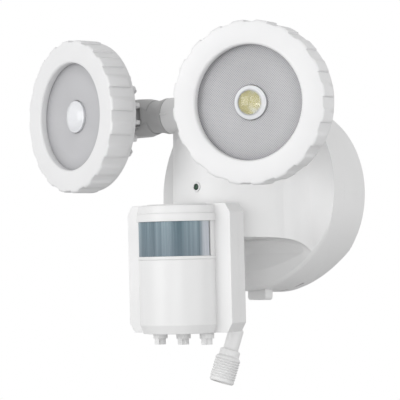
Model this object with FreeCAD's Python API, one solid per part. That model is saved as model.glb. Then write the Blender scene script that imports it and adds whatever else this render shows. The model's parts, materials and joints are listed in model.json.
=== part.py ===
import FreeCAD, Part

import math
import os

# A twin-head motion sensor security light that hangs on a wall.
# Millimetres. The wall is the plane y = 0, the front faces -Y, and +Z is up.
# The origin is the centre of the round back, where it meets the wall.

V = FreeCAD.Vector
X_AXIS = V(1, 0, 0)
Y_AXIS = V(0, 1, 0)
Z_AXIS = V(0, 0, 1)

# Fits
running_gap = 0.05          # radial, a shaft in a bore that turns
seat_gap = 0.1              # radial, a fixed piece in its seat
face_gap = 0.3              # between faces that pass each other
slide_gap = 0.15            # each side of the push button

# Housing's outer form: it flares from the wall to a sharp crease, its underside cut flatter
case_radius = 65.0
crease_radius = 77.5
crease_depth = 52.0
under_centre = 15.5         # height of the centre of the underside's curve
under_back_radius = 75.5
under_radius = 84.0
under_lead = 15.0           # the underside opens out over this depth
under_round = 6.0           # between the underside and the front face
under_round_depth = 49.3

# Rear case
case_depth = 35.0
case_wall = 2.5
back_wall = 3.0
wall_hole_spacing = 84.0
wall_hole_radius = 2.4
wall_seal_outer = 58.0
wall_seal_width = 3.0
wall_seal_depth = 1.5
rim_seal_inset = 0.7
rim_seal_width = 1.1
rim_seal_depth = 1.5

# Front cover: a shallow cone that carries the tower, with a cove under it
cover_wall = 2.5
face_flat_radius = 44.0
face_flat_depth = 58.8
tower_radius = 47.5
tower_centre = 57.0
tower_bottom = -33.0
parting_height = 37.0
tower_sweep = 20.0
sweep_bite = 0.08           # the sweeps run this far into what they join
tower_overrun = 18.0        # the tower is made this much longer, then cut
cove_half_width = 61.0
cove_corner = 19.0
cove_back = 54.0
cove_bottom = -57.0
cove_round = 10.0
cove_lip = 56.9

# Arm hub on top of the tower
hub_arch_radius = 70.0
hub_back = 40.0
hub_round = 3.5
hub_screw_spread = 20.0
hub_screw_rise = 3.0
hub_screw_bite = 1.8
collar_radius = 12.5
collar_end = 32.5
collar_inner_end = 18.0
arm_recess = 0.8            # round the arm, past the collar
index_mark = (5.0, 1.2, 1.2)

# Arms and lamp heads
arm_depth = 93.0
arm_height = 53.4
spigot_radius = 8.0
waist_radius = 11.35
knuckle_offset = 64.8
knuckle_height = 26.0
ear_radius = 11.0
tongue_thickness = 12.0
tongue_radius = 9.0
pin_radius = 2.5
head_turn = {"left": 12.2, "right": 16.6}
head_dip = {"left": 2.1, "right": 4.2}
lens_distance = 58.2
ring_radius = 51.6
pad_height = 1.25
pad_depth = 17.5
pad_count = 20
ring_depth = 20.6
ring_lip = 5.2
aperture_radius = 37.1
aperture_bevel = 1.0
cup_radius = 45.0
cup_wall = 2.5
cup_front_setback = 2.4
cup_floor_back = 31.0
rib_back = 24.0
rib_reach = 39.5
rib_thickness = 2.7
rib_corner = 4.0
pedestal_radius = 14.0
dish_depth = 1.0
dish_sag = 0.3
dish_thickness = 1.2
led_board_radius = 13.0
led_board_thickness = 1.6
led_board_drop = 3.6        # the board's face lies this far behind the dish's hub
led_lens_radius = 11.0
led_lens_base = 7.5
led_lens_crown = 3.6
led_lens_gap = 0.4
chip_radius = 7.8
chip_thickness = 4.5
ring_seal_width = 2.5

# Motion sensor
swivel_depth = 82.0
post_radius = 7.0
post_top = -19.7
boss_wall = 3.0
post_flange_radius = 9.5
post_flange_thickness = 3.0
lug_width = 12.0
tilt_reach = 10.0
tilt_height = -45.7
tilt_pin_radius = 2.5
ear_thickness = 4.0
ear_end_radius = 6.0
sensor_turn = 11.0
sensor_dip = 2.7
sensor_reach = 48.2
sensor_offset = -2.5
sensor_height = -52.5
sensor_width = 79.0
sensor_top = 42.3
sensor_bottom = -42.9
sensor_depth = 18.7
sensor_split = 11.2
sensor_corner = (3.5, 6.0)
sensor_wall = 2.0
sensor_screw_margin = (6.0, 8.6)
sensor_boss_radius = 4.6
sensor_post_radius = 3.0
bulge_radius = 27.6
bulge_centre = 1.6
bulge_bottom = -43.1
bulge_chamfer = 5.7
bulge_lean = 0.35           # the chamfer's width over its height
brow_radius = 28.4
brow_bottom = 30.9
brow_slope = (7.0, 6.5)
sill_bottom = 5.5
sill_top = 7.9
sill_radius = 28.1
window_half_width = 27.0
window_setback = 1.0
window_thickness = 0.8
window_overlap = 1.5
dial_spacing = 18.0
dial_depth = 3.5
dial_radius = 4.85
dial_height = 3.6
dial_foot_radius = 3.6
dial_foot_height = 4.0
dial_shaft_radius = 2.0
dial_shaft_length = 8.0
pot_size = (9.5, 7.0, 6.0)
sensor_board_margin = (6.5, 7.6)
sensor_board_thickness = 1.6
pir_radius = 4.6
pir_height = 19.4
pir_length = 6.0

# Power pieces inside the case
cell_radius = 9.15
cell_length = 65.0
cell_pitch = 21.0
cell_depth = 17.0
tray_end = 3.0
tray_height = 13.0
contact_thickness = 0.8
board_size = (88.0, 1.6, 60.0)
board_post = (40.0, 26.0)
board_post_radius = 3.0
board_setback = 32.0
case_screw_circle = 51.0
case_screw_angle = 52.0
case_screw_bite = 11.0
board_screw_bite = 7.0
screw_radius = 1.5
screw_head_radius = 3.2
screw_head_height = 2.2
boss_radius = 4.2

# Indicator
indicator_height = 1.5
indicator_radius = 2.15
indicator_bezel_radius = 3.35
indicator_length = 6.0
indicator_proud = 0.4

# Push button under the apron
button_across = 7.0
button_size = (15.6, 8.0)
button_proud = 6.1
button_travel = 1.8
button_corner = 2.2
button_flange = 1.0
button_flange_thickness = 1.5
button_pad_rise = 5.5
switch_size = (22.0, 14.0, 9.0)

# Vent slots low on the rear case
vent_angles = (-79.7, -67.5)
vent_length = 8.2
vent_width = 3.0
vent_depth = 25.0

# Solar panel lead with its moulded boot and threaded plug
lead_diameter = 3.8
gland_radius = 3.6
gland_flange_radius = 5.0
gland_flange_thickness = 1.2
gland_boss_radius = 5.1
gland_grip = 7.0
lead_route = [
    V(-19.7, -40.2, -69.7),
    V(-19.7, -40.2, -73.9),
    V(-18.9, -40.3, -77.1),
    V(-17.4, -40.7, -80.0),
    V(-15.4, -41.4, -82.5),
    V(-13.3, -42.8, -84.6),
    V(-11.5, -44.7, -86.6),
    V(-10.3, -46.8, -88.9),
    V(-9.8, -48.7, -91.5),
    V(-9.8, -50.2, -94.5),
    V(-10.3, -51.0, -97.6),
]
boot_radius = 5.4
boot_length = 12.5
boot_sleeve = 3.2             # runs back over the lead
boot_round = 1.5
plug_collar_radius = 7.2
plug_collar_length = 5.0
plug_radius = 8.9
plug_length = 18.5
plug_ridge_pitch = 1.8
plug_ridge_depth = 0.6
plug_ridges = 8
plug_socket_radius = 6.4
plug_socket_depth = 9.0
plug_pin_radius = 1.0
plug_pin_spacing = 5.0


def box(low, high):
    """A box between two opposite corners."""
    return Part.makeBox(high[0] - low[0], high[1] - low[1], high[2] - low[2], V(*low))


def centred_box(centre, size):
    """A box of a given size about its centre."""
    low = [c - s / 2 for c, s in zip(centre, size)]
    high = [c + s / 2 for c, s in zip(centre, size)]
    return box(low, high)


def rod(radius, start, end):
    """A round rod from one point to another."""
    along = end - start
    return Part.makeCylinder(radius, along.Length, start, along)


def tube(outer, inner, start, end):
    """A round tube from one point to another."""
    return rod(outer, start, end).cut(rod(inner, start, end))


def fused(shapes):
    """Joins several solids into one clean solid."""
    return shapes[0].multiFuse(shapes[1:]).removeSplitter()


def placed(shape, placement):
    """A copy of the shape, moved from its own frame into the light's."""
    moved = shape.copy()
    moved.Placement = placement.multiply(shape.Placement)
    return moved


def turned(points, axis=Y_AXIS):
    """A solid of revolution about an axis from (radius, height) points and arcs."""
    def at(radius, height):
        if axis == Y_AXIS:
            return V(radius, height, 0)
        if axis == Z_AXIS:
            return V(radius, 0, height)
        return V(height, radius, 0)
    edges = []
    last = at(*points[0])
    for item in points[1:]:
        if isinstance(item[0], tuple):
            middle = at(*item[0])
            end = at(*item[1])
            edges.append(Part.Arc(last, middle, end).toShape())
        else:
            end = at(*item)
            edges.append(Part.makeLine(last, end))
        last = end
    edges.append(Part.makeLine(last, at(*points[0])))
    return Part.Face(Part.Wire(edges)).revolve(V(0, 0, 0), axis, 360)


def prism(points, along):
    """A straight prism over a closed polygon."""
    return Part.Face(Part.makePolygon(points + [points[0]])).extrude(along)


def round_arc(centre, radius, start, end):
    """The middle and end points of an arc in (radius, height) coordinates, angles in degrees."""
    def at(angle):
        turn = math.radians(angle)
        return (centre[0] + radius * math.cos(turn), centre[1] + radius * math.sin(turn))
    return (at((start + end) / 2), at(end))


def save(name, shape):
    """Writes one named piece."""
    shape.exportStep("parts/" + name + ".step")


def save_group(name, shapes):
    """Writes several like pieces under one name."""
    save(name, Part.makeCompound(shapes))


# Housing

def under_z():
    """The height of the housing's lowest line."""
    return under_centre - under_radius


def flare(inset, back, front):
    """The flared round body between two depths, cut flatter below."""
    slope = (crease_radius - case_radius) / crease_depth

    def round_at(depth):
        return case_radius - depth * slope - inset

    def under_at(depth):
        share = min(1.0, max(0.0, -depth / under_lead))
        return under_back_radius + share * (under_radius - under_back_radius) - inset

    cone = turned([(0, back), (round_at(back), back), (round_at(front), front), (0, front)])
    outline = [(0, back), (under_at(back), back)]
    if back > -under_lead > front:
        outline.append((under_at(-under_lead), -under_lead))
    if front < -under_round_depth:
        bend = under_round - inset
        low = under_radius - under_round
        outline += [(under_radius - inset, -under_round_depth),
                    round_arc((low, -under_round_depth), bend, 0, -90), (low, front)]
    else:
        outline.append((under_at(front), front))
    under = turned(outline + [(0, front)])
    under.translate(V(0, 0, under_centre))
    return cone.common(under)


def face_form(inset, back):
    """The shallow cone of the front face, wider than the housing."""
    slope = (face_flat_depth - crease_depth) / (crease_radius - face_flat_radius)
    wide = 1.4 * crease_radius
    form = turned([
        (0, back),
        (wide, back),
        (wide, -crease_depth + (wide - crease_radius) * slope + inset),
        (face_flat_radius, -face_flat_depth + inset),
        (0, -face_flat_depth + inset),
    ])
    form.rotate(V(0, 0, 0), Y_AXIS, 90)
    return form


def sweep_section(inset, height):
    """The sweep's section at one height, its arc a little inside the tower and the face."""
    slope = (face_flat_depth - crease_depth) / (crease_radius - face_flat_radius)
    radius = tower_sweep + inset
    reach = tower_radius - inset + radius

    def arc_over(x):
        away = math.hypot(x, height)
        tilt = slope * x / away
        size = math.hypot(1, tilt)
        depth = -crease_depth + (away - crease_radius) * slope + inset
        return x + radius * tilt / size, depth - radius / size, math.degrees(math.atan2(1, -tilt))

    near, far = face_flat_radius, 2 * face_flat_radius
    for _ in range(40):
        middle = (near + far) / 2
        x, y, turn = arc_over(middle)
        if math.hypot(x, y + tower_centre) < reach:
            near = middle
        else:
            far = middle
    x, y, end = arc_over(near)
    start = math.degrees(math.atan2(-tower_centre - y, -x))
    first = round_arc((x, y), radius + sweep_bite, start, start)[1]
    middle, last = round_arc((x, y), radius + sweep_bite, start, end)
    deep = -case_depth - cover_wall
    inner = tower_radius - inset - cover_wall
    at = [V(px, py, height) for px, py in (first, middle, last, (last[0], deep), (inner, deep))]
    return Part.Wire([Part.Arc(at[0], at[1], at[2]).toShape(), Part.makeLine(at[2], at[3]),
                      Part.makeLine(at[3], at[4]), Part.makeLine(at[4], at[0])])


def tower_form(inset, back):
    """The face with the upright half-round tower, joined by wide sweeps at its flanks."""
    low = cove_bottom - tower_overrun
    high = hub_arch_radius + tower_overrun
    column = rod(tower_radius - inset, V(0, -tower_centre, low), V(0, -tower_centre, high))
    reach = tower_radius + 1
    column = column.common(box((-reach, -tower_centre - reach, low), (reach, back, high)))
    steps = 5
    heights = [low + (high - low) * k / steps for k in range(steps + 1)]
    sweep = Part.makeLoft([sweep_section(inset, height) for height in heights], True)
    return fused([face_form(inset, back), column, sweep, sweep.mirror(V(0, 0, 0), X_AXIS)])


def cove(grow, back):
    """What the cove under the tower takes away, or that grown by a wall."""
    half = cove_half_width + grow
    top = tower_bottom + grow
    corner = cove_corner + grow
    front = -2 * tower_radius - tower_centre
    block = box((-half, front, -2 * crease_radius), (half, back, top))
    upper = [edge for edge in block.Edges
             if edge.BoundBox.YLength > 1 and edge.BoundBox.ZMin > top - 1]
    block = block.makeFillet(corner, upper)
    deep = -cove_back + grow
    bend = cove_round + grow
    turn = round_arc((deep - bend, top - bend), bend, 90, 0)
    low = cove_bottom - grow
    lip = -cove_lip + grow
    edges = [Part.makeLine(V(-half, front, top), V(-half, deep - bend, top)),
             Part.Arc(V(-half, deep - bend, top), V(-half, turn[0][0], turn[0][1]),
                      V(-half, turn[1][0], turn[1][1])).toShape(),
             Part.makeLine(V(-half, deep, top - bend), V(-half, lip, low)),
             Part.makeLine(V(-half, lip, low), V(-half, front, low)),
             Part.makeLine(V(-half, front, low), V(-half, front, top))]
    scoop = Part.Face(Part.Wire(edges)).extrude(V(2 * half, 0, 0))
    keep = face_form(grow, back + 1).cut(scoop)
    return block.cut(keep)


def screw_places():
    """Where the four case screws stand."""
    turn = math.radians(case_screw_angle)
    across = case_screw_circle * math.cos(turn)
    up = case_screw_circle * math.sin(turn)
    return [(x * across, z * up) for x in (-1, 1) for z in (-1, 1)]


def board_post_places():
    """Where the four posts of the main board stand."""
    return [(x * board_post[0], z * board_post[1]) for x in (-1, 1) for z in (-1, 1)]


def make_rear_case():
    """The flared back shell with its bosses, wall holes and vent slots."""
    shell = flare(0, 0, -case_depth).cut(flare(case_wall, -back_wall, -case_depth - 1))
    bosses = []
    for x, z in screw_places():
        bosses.append(rod(boss_radius, V(x, -case_depth, z), V(x, -back_wall, z)))
    for x, z in board_post_places():
        bosses.append(rod(board_post_radius, V(x, -board_setback, z), V(x, -back_wall, z)))
    shell = fused([shell] + bosses)
    cuts = []
    for x, z in screw_places():
        cuts.append(rod(screw_radius + seat_gap, V(x, -case_depth - 1, z), V(x, 1, z)))
        cuts.append(rod(screw_head_radius + seat_gap, V(x, -back_wall, z), V(x, 1, z)))
    for x in (-wall_hole_spacing / 2, wall_hole_spacing / 2):
        cuts.append(rod(wall_hole_radius, V(x, -back_wall - 1, 0), V(x, 1, 0)))
    for x, z in board_post_places():
        cuts.append(rod(screw_radius + seat_gap, V(x, -board_setback - 1, z),
                        V(x, -board_setback + board_screw_bite + 1, z)))
    cuts.append(make_wall_seal())
    cuts.append(make_rim_seal())
    for angle in vent_angles:
        slot = box((under_radius - under_centre - 3 * case_wall, -vent_depth - vent_width / 2,
                    -vent_length / 2),
                   (under_radius, -vent_depth + vent_width / 2, vent_length / 2))
        slot.rotate(V(0, 0, 0), Y_AXIS, -angle)
        cuts.append(slot)
    return shell.cut(Part.makeCompound(cuts))


def make_wall_seal():
    """The foam ring that seals the back against the wall."""
    return tube(wall_seal_outer, wall_seal_outer - wall_seal_width,
                V(0, -wall_seal_depth, 0), V(0, 0, 0))


def make_rim_seal():
    """The ring between the rear case and the front cover."""
    back = -case_depth + rim_seal_depth
    outer = flare(rim_seal_inset, back, -case_depth)
    return outer.cut(flare(rim_seal_inset + rim_seal_width, back + 1, -case_depth - 1))


def make_front_cover():
    """The face with its tower and cove, hollow, and open on top for the arm hub."""
    front = -2 * tower_radius - tower_centre
    wide = 2 * crease_radius
    top_limit = box((-wide, front, parting_height), (wide, -case_depth, wide))
    plain = face_form(0, -case_depth)
    outer = tower_form(0, -case_depth)
    outer = outer.cut(top_limit.cut(plain))
    outer = outer.common(flare(0, -case_depth, front)).cut(cove(0, -case_depth))
    inner = tower_form(cover_wall, -case_depth + 1)
    open_top = box((-wide, front, parting_height + 1), (wide, -case_depth + 1, wide))
    inner = inner.cut(open_top.cut(face_form(cover_wall, -case_depth + 1)))
    inner = inner.common(flare(cover_wall, -case_depth + 1, front))
    inner = inner.cut(cove(cover_wall, -case_depth + 1))
    shell = outer.cut(inner)
    adds = []
    swivel = V(0, -swivel_depth, tower_bottom)
    adds.append(rod(post_radius + boss_wall, swivel, V(0, -swivel_depth, post_top - face_gap)))
    for x, z in screw_places():
        boss = rod(boss_radius, V(x, -case_depth, z), V(x, -face_flat_depth, z))
        adds.append(boss.common(face_form(cover_wall / 2, -case_depth)))
    bx, by = button_place()
    pad = centred_box((bx, by, under_z()), (switch_size[0], switch_size[1], 2 * button_pad_rise))
    adds.append(pad.common(flare(cover_wall / 2, -case_depth, front)))
    gland = lead_route[0]
    adds.append(rod(gland_boss_radius, V(gland.x, gland.y, under_z()),
                    V(gland.x, gland.y, under_z() + gland_grip)))
    shell = fused([shell] + adds).cut(cove(0, -case_depth))
    cuts = [rod(post_radius + running_gap, V(0, -swivel_depth, tower_bottom - 1),
                V(0, -swivel_depth, post_top + 1))]
    for x, z in screw_places():
        cuts.append(rod(screw_radius + seat_gap, V(x, -case_depth + 1, z),
                        V(x, -case_depth - case_screw_bite - 1, z)))
    cuts.append(centred_box((bx, by, under_z()), (button_size[0] + 2 * slide_gap,
                                                  button_size[1] + 2 * slide_gap,
                                                  4 * button_pad_rise)))
    face = -tower_centre - tower_radius
    cuts.append(rod(indicator_bezel_radius + seat_gap, V(0, face - 1, indicator_height),
                    V(0, face + 2 * cover_wall, indicator_height)))
    cuts.append(rod(gland_radius + seat_gap, V(gland.x, gland.y, under_z() - 1),
                    V(gland.x, gland.y, under_z() + gland_grip + 1)))
    for place in hub_screw_places():
        cuts.append(rod(screw_radius + seat_gap, place - V(0, cover_wall, 0),
                        place + V(0, 2 * cover_wall, 0)))
    return shell.cut(Part.makeCompound(cuts))


def hub_screw_places():
    """Two screws hold the hub's back to the flat of the front face."""
    height = parting_height + hub_screw_rise
    return [V(x * hub_screw_spread / 2, -face_flat_depth, height) for x in (-1, 1)]


def hub_body(inset):
    """The hub's outer form, or its inner form when inset by a wall."""
    front = -2 * tower_radius - tower_centre
    wide = 2 * crease_radius
    above = box((-wide, front, parting_height), (wide, -hub_back, wide))
    arch = rod(hub_arch_radius - inset, V(0, front, 0), V(0, -hub_back, 0))
    return tower_form(inset, -hub_back + 1).common(above).common(arch)


def round_hub(shape):
    """Rounds the top front edges of the hub."""
    edges = []
    for edge in shape.Edges:
        first, last = edge.ParameterRange
        spots = [edge.valueAt(first + share * (last - first)) for share in (0.1, 0.5, 0.9)]
        on_arch = all(abs(math.hypot(spot.x, spot.z) - hub_arch_radius) < 0.01 for spot in spots)
        in_front = all(spot.y < -hub_back - 1 for spot in spots)
        if on_arch and in_front and edge.BoundBox.XLength > 1:
            edges.append(edge)
    return shape.makeFillet(hub_round, edges)


def collar_rod(radius, start, end):
    """A rod along the arm axis."""
    return rod(radius, V(start, -arm_depth, arm_height), V(end, -arm_depth, arm_height))


def make_arm_hub():
    """The arched cap on the tower, with a collar for each arm."""
    outer = round_hub(hub_body(0)).cut(face_form(0, -case_depth))
    recesses = [collar_rod(collar_radius + arm_recess, side * collar_end, side * tower_radius * 2)
                for side in (-1, 1)]
    outer = outer.cut(Part.makeCompound(recesses))
    pieces = [outer, collar_rod(collar_radius, -collar_end, collar_end)]
    for side in (-1, 1):
        pieces.append(centred_box((side * (collar_end - index_mark[0] / 2),
                                   -arm_depth - collar_radius, arm_height), index_mark))
    hub = fused(pieces)
    reach = collar_end - cover_wall
    room = box((-reach, -2 * tower_centre, 0), (reach, -hub_back, 2 * crease_radius))
    room = hub_body(cover_wall).common(room).cut(face_form(-cover_wall, -case_depth))
    hub = hub.cut(room)
    collars = []
    for side in (-1, 1):
        collars.append(collar_rod(collar_radius, side * collar_inner_end, side * collar_end))
    hub = fused([hub] + collars)
    cuts = [collar_rod(collar_radius - cover_wall, -collar_inner_end, collar_inner_end),
            collar_rod(spigot_radius + running_gap, -collar_end - 1, collar_end + 1)]
    for place in hub_screw_places():
        cuts.append(rod(screw_radius + seat_gap, place - V(0, 2 * cover_wall, 0),
                        place + V(0, 1, 0)))
    return hub.cut(Part.makeCompound(cuts))


# Arms

def arm_frame(side):
    """The frame of an arm: its origin on the arm axis, dipped with its head."""
    dip = head_dip["left" if side < 0 else "right"]
    return FreeCAD.Placement(V(0, -arm_depth, arm_height), FreeCAD.Rotation(X_AXIS, dip))


def head_frame(side):
    """The frame of a lamp head: its origin on the pan pin, its front to -Y."""
    turn = head_turn["left" if side < 0 else "right"]
    swing = FreeCAD.Placement(V(side * knuckle_offset, 0, 0),
                              FreeCAD.Rotation(Z_AXIS, side * turn))
    return arm_frame(side).multiply(swing)


def mirrored(shape, side):
    """The shape as made for the right, or its mirror image for the left."""
    if side > 0:
        return shape
    return shape.mirror(V(0, 0, 0), X_AXIS)


def make_arm():
    """The right arm: spigot, waisted neck and the two ears of its knuckle."""
    start = collar_end + face_gap
    ears_start = knuckle_offset - ear_radius - 3
    body = turned([
        (0, collar_inner_end - face_gap),
        (spigot_radius, collar_inner_end - face_gap),
        (spigot_radius, start),
        (collar_radius - 0.5, start),
        (collar_radius, start + 0.5),
        (collar_radius, start + 3),
        ((waist_radius, (start + ears_start) / 2), (collar_radius - 0.2, ears_start)),
        (0, ears_start),
    ], axis=X_AXIS)
    half = knuckle_height / 2
    bar = centred_box(((ears_start + knuckle_offset) / 2 - 2, 0, 0),
                      (knuckle_offset - ears_start + 4, 2 * ear_radius, knuckle_height))
    eye = rod(ear_radius, V(knuckle_offset, 0, -half), V(knuckle_offset, 0, half))
    cone_start = ears_start - 10
    cone = turned([
        (0, cone_start),
        (collar_radius - 2, cone_start),
        (half + 1.6, knuckle_offset - 7),
        (half + 1.6, knuckle_offset + ear_radius),
        (0, knuckle_offset + ear_radius),
    ], axis=X_AXIS)
    knuckle = bar.fuse(eye).common(cone)
    arm = fused([body, knuckle])
    slot_half = tongue_thickness / 2 + face_gap
    throat = knuckle_offset - ear_radius - 1
    slot = box((throat, -20, -slot_half), (knuckle_offset + 20, 20, slot_half))
    hole = rod(pin_radius, V(knuckle_offset, 0, -half - 1), V(knuckle_offset, 0, half + 1))
    screw = rod(screw_radius + seat_gap, V(collar_inner_end - 2, 0, 0),
                V(collar_inner_end + 12, 0, 0))
    return arm.cut(Part.makeCompound([slot, hole, screw]))


def make_arm_retainer():
    """The washer and screw that keep the spigot in its collar."""
    inner = collar_inner_end - face_gap
    washer = rod(spigot_radius + 1.5, V(inner - 1.5, 0, 0), V(inner, 0, 0))
    head = rod(4.0, V(inner - 4, 0, 0), V(inner - 1.5, 0, 0))
    shank = rod(screw_radius, V(inner - 1.5, 0, 0), V(inner + 9, 0, 0))
    return fused([washer, head, shank])


def make_pan_pin():
    """The upright pin of the knuckle."""
    half = knuckle_height / 2
    return rod(pin_radius, V(knuckle_offset, 0, -half), V(knuckle_offset, 0, half))


# Lamp heads, each made in its own frame

def ring_back():
    return -(lens_distance - ring_depth)


def make_head_cup():
    """The rear cup with its cooling ribs, pedestal and knuckle tongue."""
    front = -lens_distance + ring_lip + cup_front_setback
    floor_front = -cup_floor_back - cup_wall
    shell = turned([
        (0, -cup_floor_back),
        (cup_radius - 5, -cup_floor_back),
        (cup_radius, -cup_floor_back - 5),
        (cup_radius, front),
        (cup_radius - cup_wall, front),
        (cup_radius - cup_wall, floor_front - 3.5),
        (cup_radius - cup_wall - 3.5, floor_front),
        (pedestal_radius, floor_front),
        (pedestal_radius, board_front() + led_board_thickness),
        (0, board_front() + led_board_thickness),
    ])
    pieces = [shell]
    boss = turned([
        (0, -cup_floor_back - 1),
        (16, -cup_floor_back - 1),
        (12, -rib_back + 1),
        (0, -rib_back + 1),
    ])
    pieces.append(boss)
    blank = box((8, -cup_floor_back - 4, -rib_thickness / 2),
                (rib_reach, -rib_back, rib_thickness / 2))
    corner = [edge for edge in blank.Edges
              if abs(edge.BoundBox.XMin - rib_reach) < 0.01
              and abs(edge.BoundBox.YMin + rib_back) < 0.01
              and edge.BoundBox.ZLength > 1
              and edge.BoundBox.YLength < 0.01]
    rib = blank.makeFillet(rib_corner, corner)
    for k in range(pad_count):
        one = rib.copy()
        one.rotate(V(0, 0, 0), Y_AXIS, (k + 0.5) * 360 / pad_count)
        pieces.append(one)
    half = tongue_thickness / 2
    bar = box((-tongue_radius, -cup_floor_back - 1, -half), (tongue_radius, 0, half))
    eye = rod(tongue_radius, V(0, 0, -half), V(0, 0, half))
    pieces += [bar, eye]
    cup = fused(pieces)
    return cup.cut(rod(pin_radius + running_gap, V(0, 0, -half - 1), V(0, 0, half + 1)))


def board_front():
    """The y of the LED board's front face."""
    return -lens_distance + ring_lip + dish_depth + led_board_drop


def make_led_board():
    """The round metal-core board on the pedestal."""
    front = board_front()
    return rod(led_board_radius, V(0, front, 0), V(0, front + led_board_thickness, 0))


def make_led_chip():
    """The yellow phosphor disc of the LED."""
    front = board_front()
    return rod(chip_radius, V(0, front - chip_thickness, 0), V(0, front, 0))


def make_led_lens():
    """The clear dome over the LED, hollow over the chip."""
    base = board_front()
    rim = base - led_lens_base
    dome_radius = (led_lens_radius ** 2 + led_lens_crown ** 2) / (2 * led_lens_crown)
    centre = rim - led_lens_crown + dome_radius
    rise = math.degrees(math.asin((centre - rim) / dome_radius))
    pocket = base - chip_thickness - led_lens_gap
    return turned([
        (chip_radius + led_lens_gap, base),
        (led_lens_radius, base),
        (led_lens_radius, rim),
        round_arc((0, centre), dome_radius, -rise, -90),
        (0, pocket),
        (chip_radius + led_lens_gap, pocket),
    ])


def make_reflector():
    """The shallow silvered dish round the LED, its rim clamped behind the ring."""
    rim = -lens_distance + ring_lip
    hub = rim + dish_depth
    hole = led_lens_radius + led_lens_gap
    bend = (aperture_radius + hole) / 2
    middle = (rim + hub) / 2 + dish_sag
    outer = cup_radius - 2 * face_gap
    return turned([
        (outer, rim),
        (aperture_radius, rim),
        ((bend, middle), (hole, hub)),
        (hole, hub + dish_thickness),
        ((bend, middle + dish_thickness), (aperture_radius, rim + dish_thickness)),
        (outer, rim + dish_thickness),
    ])


def make_ring_seal():
    """The flat seal between the dish's rim and the cup."""
    front = -lens_distance + ring_lip + dish_thickness
    back = -lens_distance + ring_lip + cup_front_setback
    return tube(cup_radius, cup_radius - ring_seal_width, V(0, front, 0), V(0, back, 0))


def make_bezel_ring():
    """The front ring with twenty raised grip pads, sharp on one side and sloped on the other."""
    step = 360 / pad_count
    high = ring_radius + pad_height
    points = []
    for k in range(pad_count):
        for radius, share in ((ring_radius, 0.0), (high, 0.02), (high, 0.5), (ring_radius, 0.62)):
            angle = math.radians((k + share) * step)
            points.append(V(radius * math.cos(angle), 0, radius * math.sin(angle)))
    front = -lens_distance
    for point in points:
        point.y = front + pad_depth
    ring = prism(points, V(0, -pad_depth, 0))
    ring = ring.fuse(rod(ring_radius, V(0, ring_back(), 0), V(0, front + 1, 0)))
    limit = turned([
        (0, ring_back()),
        (high + 1, ring_back()),
        (high + 1, front + 1.6),
        (high - 1.4, front),
        (0, front),
    ])
    ring = ring.common(limit)
    bore = rod(cup_radius + seat_gap, V(0, ring_back() + 1, 0), V(0, front + ring_lip, 0))
    window = turned([
        (0, front + ring_lip + 1),
        (aperture_radius, front + ring_lip + 1),
        (aperture_radius, front + aperture_bevel),
        (aperture_radius + aperture_bevel, front),
        (aperture_radius + aperture_bevel, front - 1),
        (0, front - 1),
    ])
    return ring.cut(bore).cut(window)


# Motion sensor

def pan_frame():
    """The swivel's frame: its origin on the upright axis at the tilt pin's height."""
    return FreeCAD.Placement(V(0, -swivel_depth, tilt_height),
                             FreeCAD.Rotation(Z_AXIS, sensor_turn))


def sensor_frame():
    """The sensor's frame: its origin in the middle of the frame's front face."""
    tilt = FreeCAD.Placement(V(0, -tilt_reach, 0), FreeCAD.Rotation(X_AXIS, sensor_dip))
    shift = FreeCAD.Placement(V(sensor_offset, -(sensor_reach - tilt_reach),
                                sensor_height - tilt_height), FreeCAD.Rotation())
    return pan_frame().multiply(tilt).multiply(shift)


def make_swivel():
    """The upright post, its flange under the tower and the lug for the tilt pin."""
    ceiling = tower_bottom - tilt_height - face_gap
    top = post_top - tilt_height
    post = rod(post_radius, V(0, 0, 0), V(0, 0, top))
    flange = rod(post_flange_radius, V(0, 0, ceiling - post_flange_thickness), V(0, 0, ceiling))
    half = lug_width / 2
    nose = rod(ear_end_radius, V(-half, -tilt_reach, 0), V(half, -tilt_reach, 0))
    bar = box((-half, -tilt_reach, -ear_end_radius),
              (half, post_radius, ceiling - post_flange_thickness + 1))
    lug = bar.fuse(nose)
    foot = rod(post_radius, V(0, 0, -ear_end_radius), V(0, 0, 1))
    body = fused([post, flange, lug, foot])
    pin = rod(tilt_pin_radius + running_gap, V(-20, -tilt_reach, 0), V(20, -tilt_reach, 0))
    screw = rod(screw_radius + seat_gap, V(0, 0, top - 11), V(0, 0, top + 1))
    return body.cut(Part.makeCompound([pin, screw]))


def make_swivel_retainer():
    """The washer and screw on top of the post, inside the tower."""
    top = post_top - tilt_height
    washer = rod(post_flange_radius, V(0, 0, top), V(0, 0, top + 1.5))
    head = rod(screw_head_radius, V(0, 0, top + 1.5), V(0, 0, top + 4))
    shank = rod(screw_radius, V(0, 0, top - 9), V(0, 0, top + 1.5))
    return fused([washer, head, shank])


def tilt_pin_place():
    """The tilt pin in the sensor's own frame."""
    return V(-sensor_offset, sensor_reach - tilt_reach, tilt_height - sensor_height)


def make_tilt_pin():
    """The pin through the lug and the sensor's ears, with a low head each end."""
    place = tilt_pin_place()
    reach = lug_width / 2 + face_gap + ear_thickness
    pin = rod(tilt_pin_radius, place - V(reach, 0, 0), place + V(reach, 0, 0))
    heads = [rod(tilt_pin_radius + 1.5, place + V(side * reach, 0, 0),
                 place + V(side * (reach + 1.5), 0, 0)) for side in (-1, 1)]
    return fused([pin] + heads)


def sensor_outline(inset):
    """The frame's outline with its four cut corners, at y = 0."""
    right = sensor_width / 2 - inset
    top = sensor_top - inset
    low = sensor_bottom + inset
    cut_x, cut_z = sensor_corner
    return [
        V(-right, 0, low + cut_z), V(-right + cut_x, 0, low), V(right - cut_x, 0, low),
        V(right, 0, low + cut_z), V(right, 0, top - cut_z), V(right - cut_x, 0, top),
        V(-right + cut_x, 0, top), V(-right, 0, top - cut_z),
    ]


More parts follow.
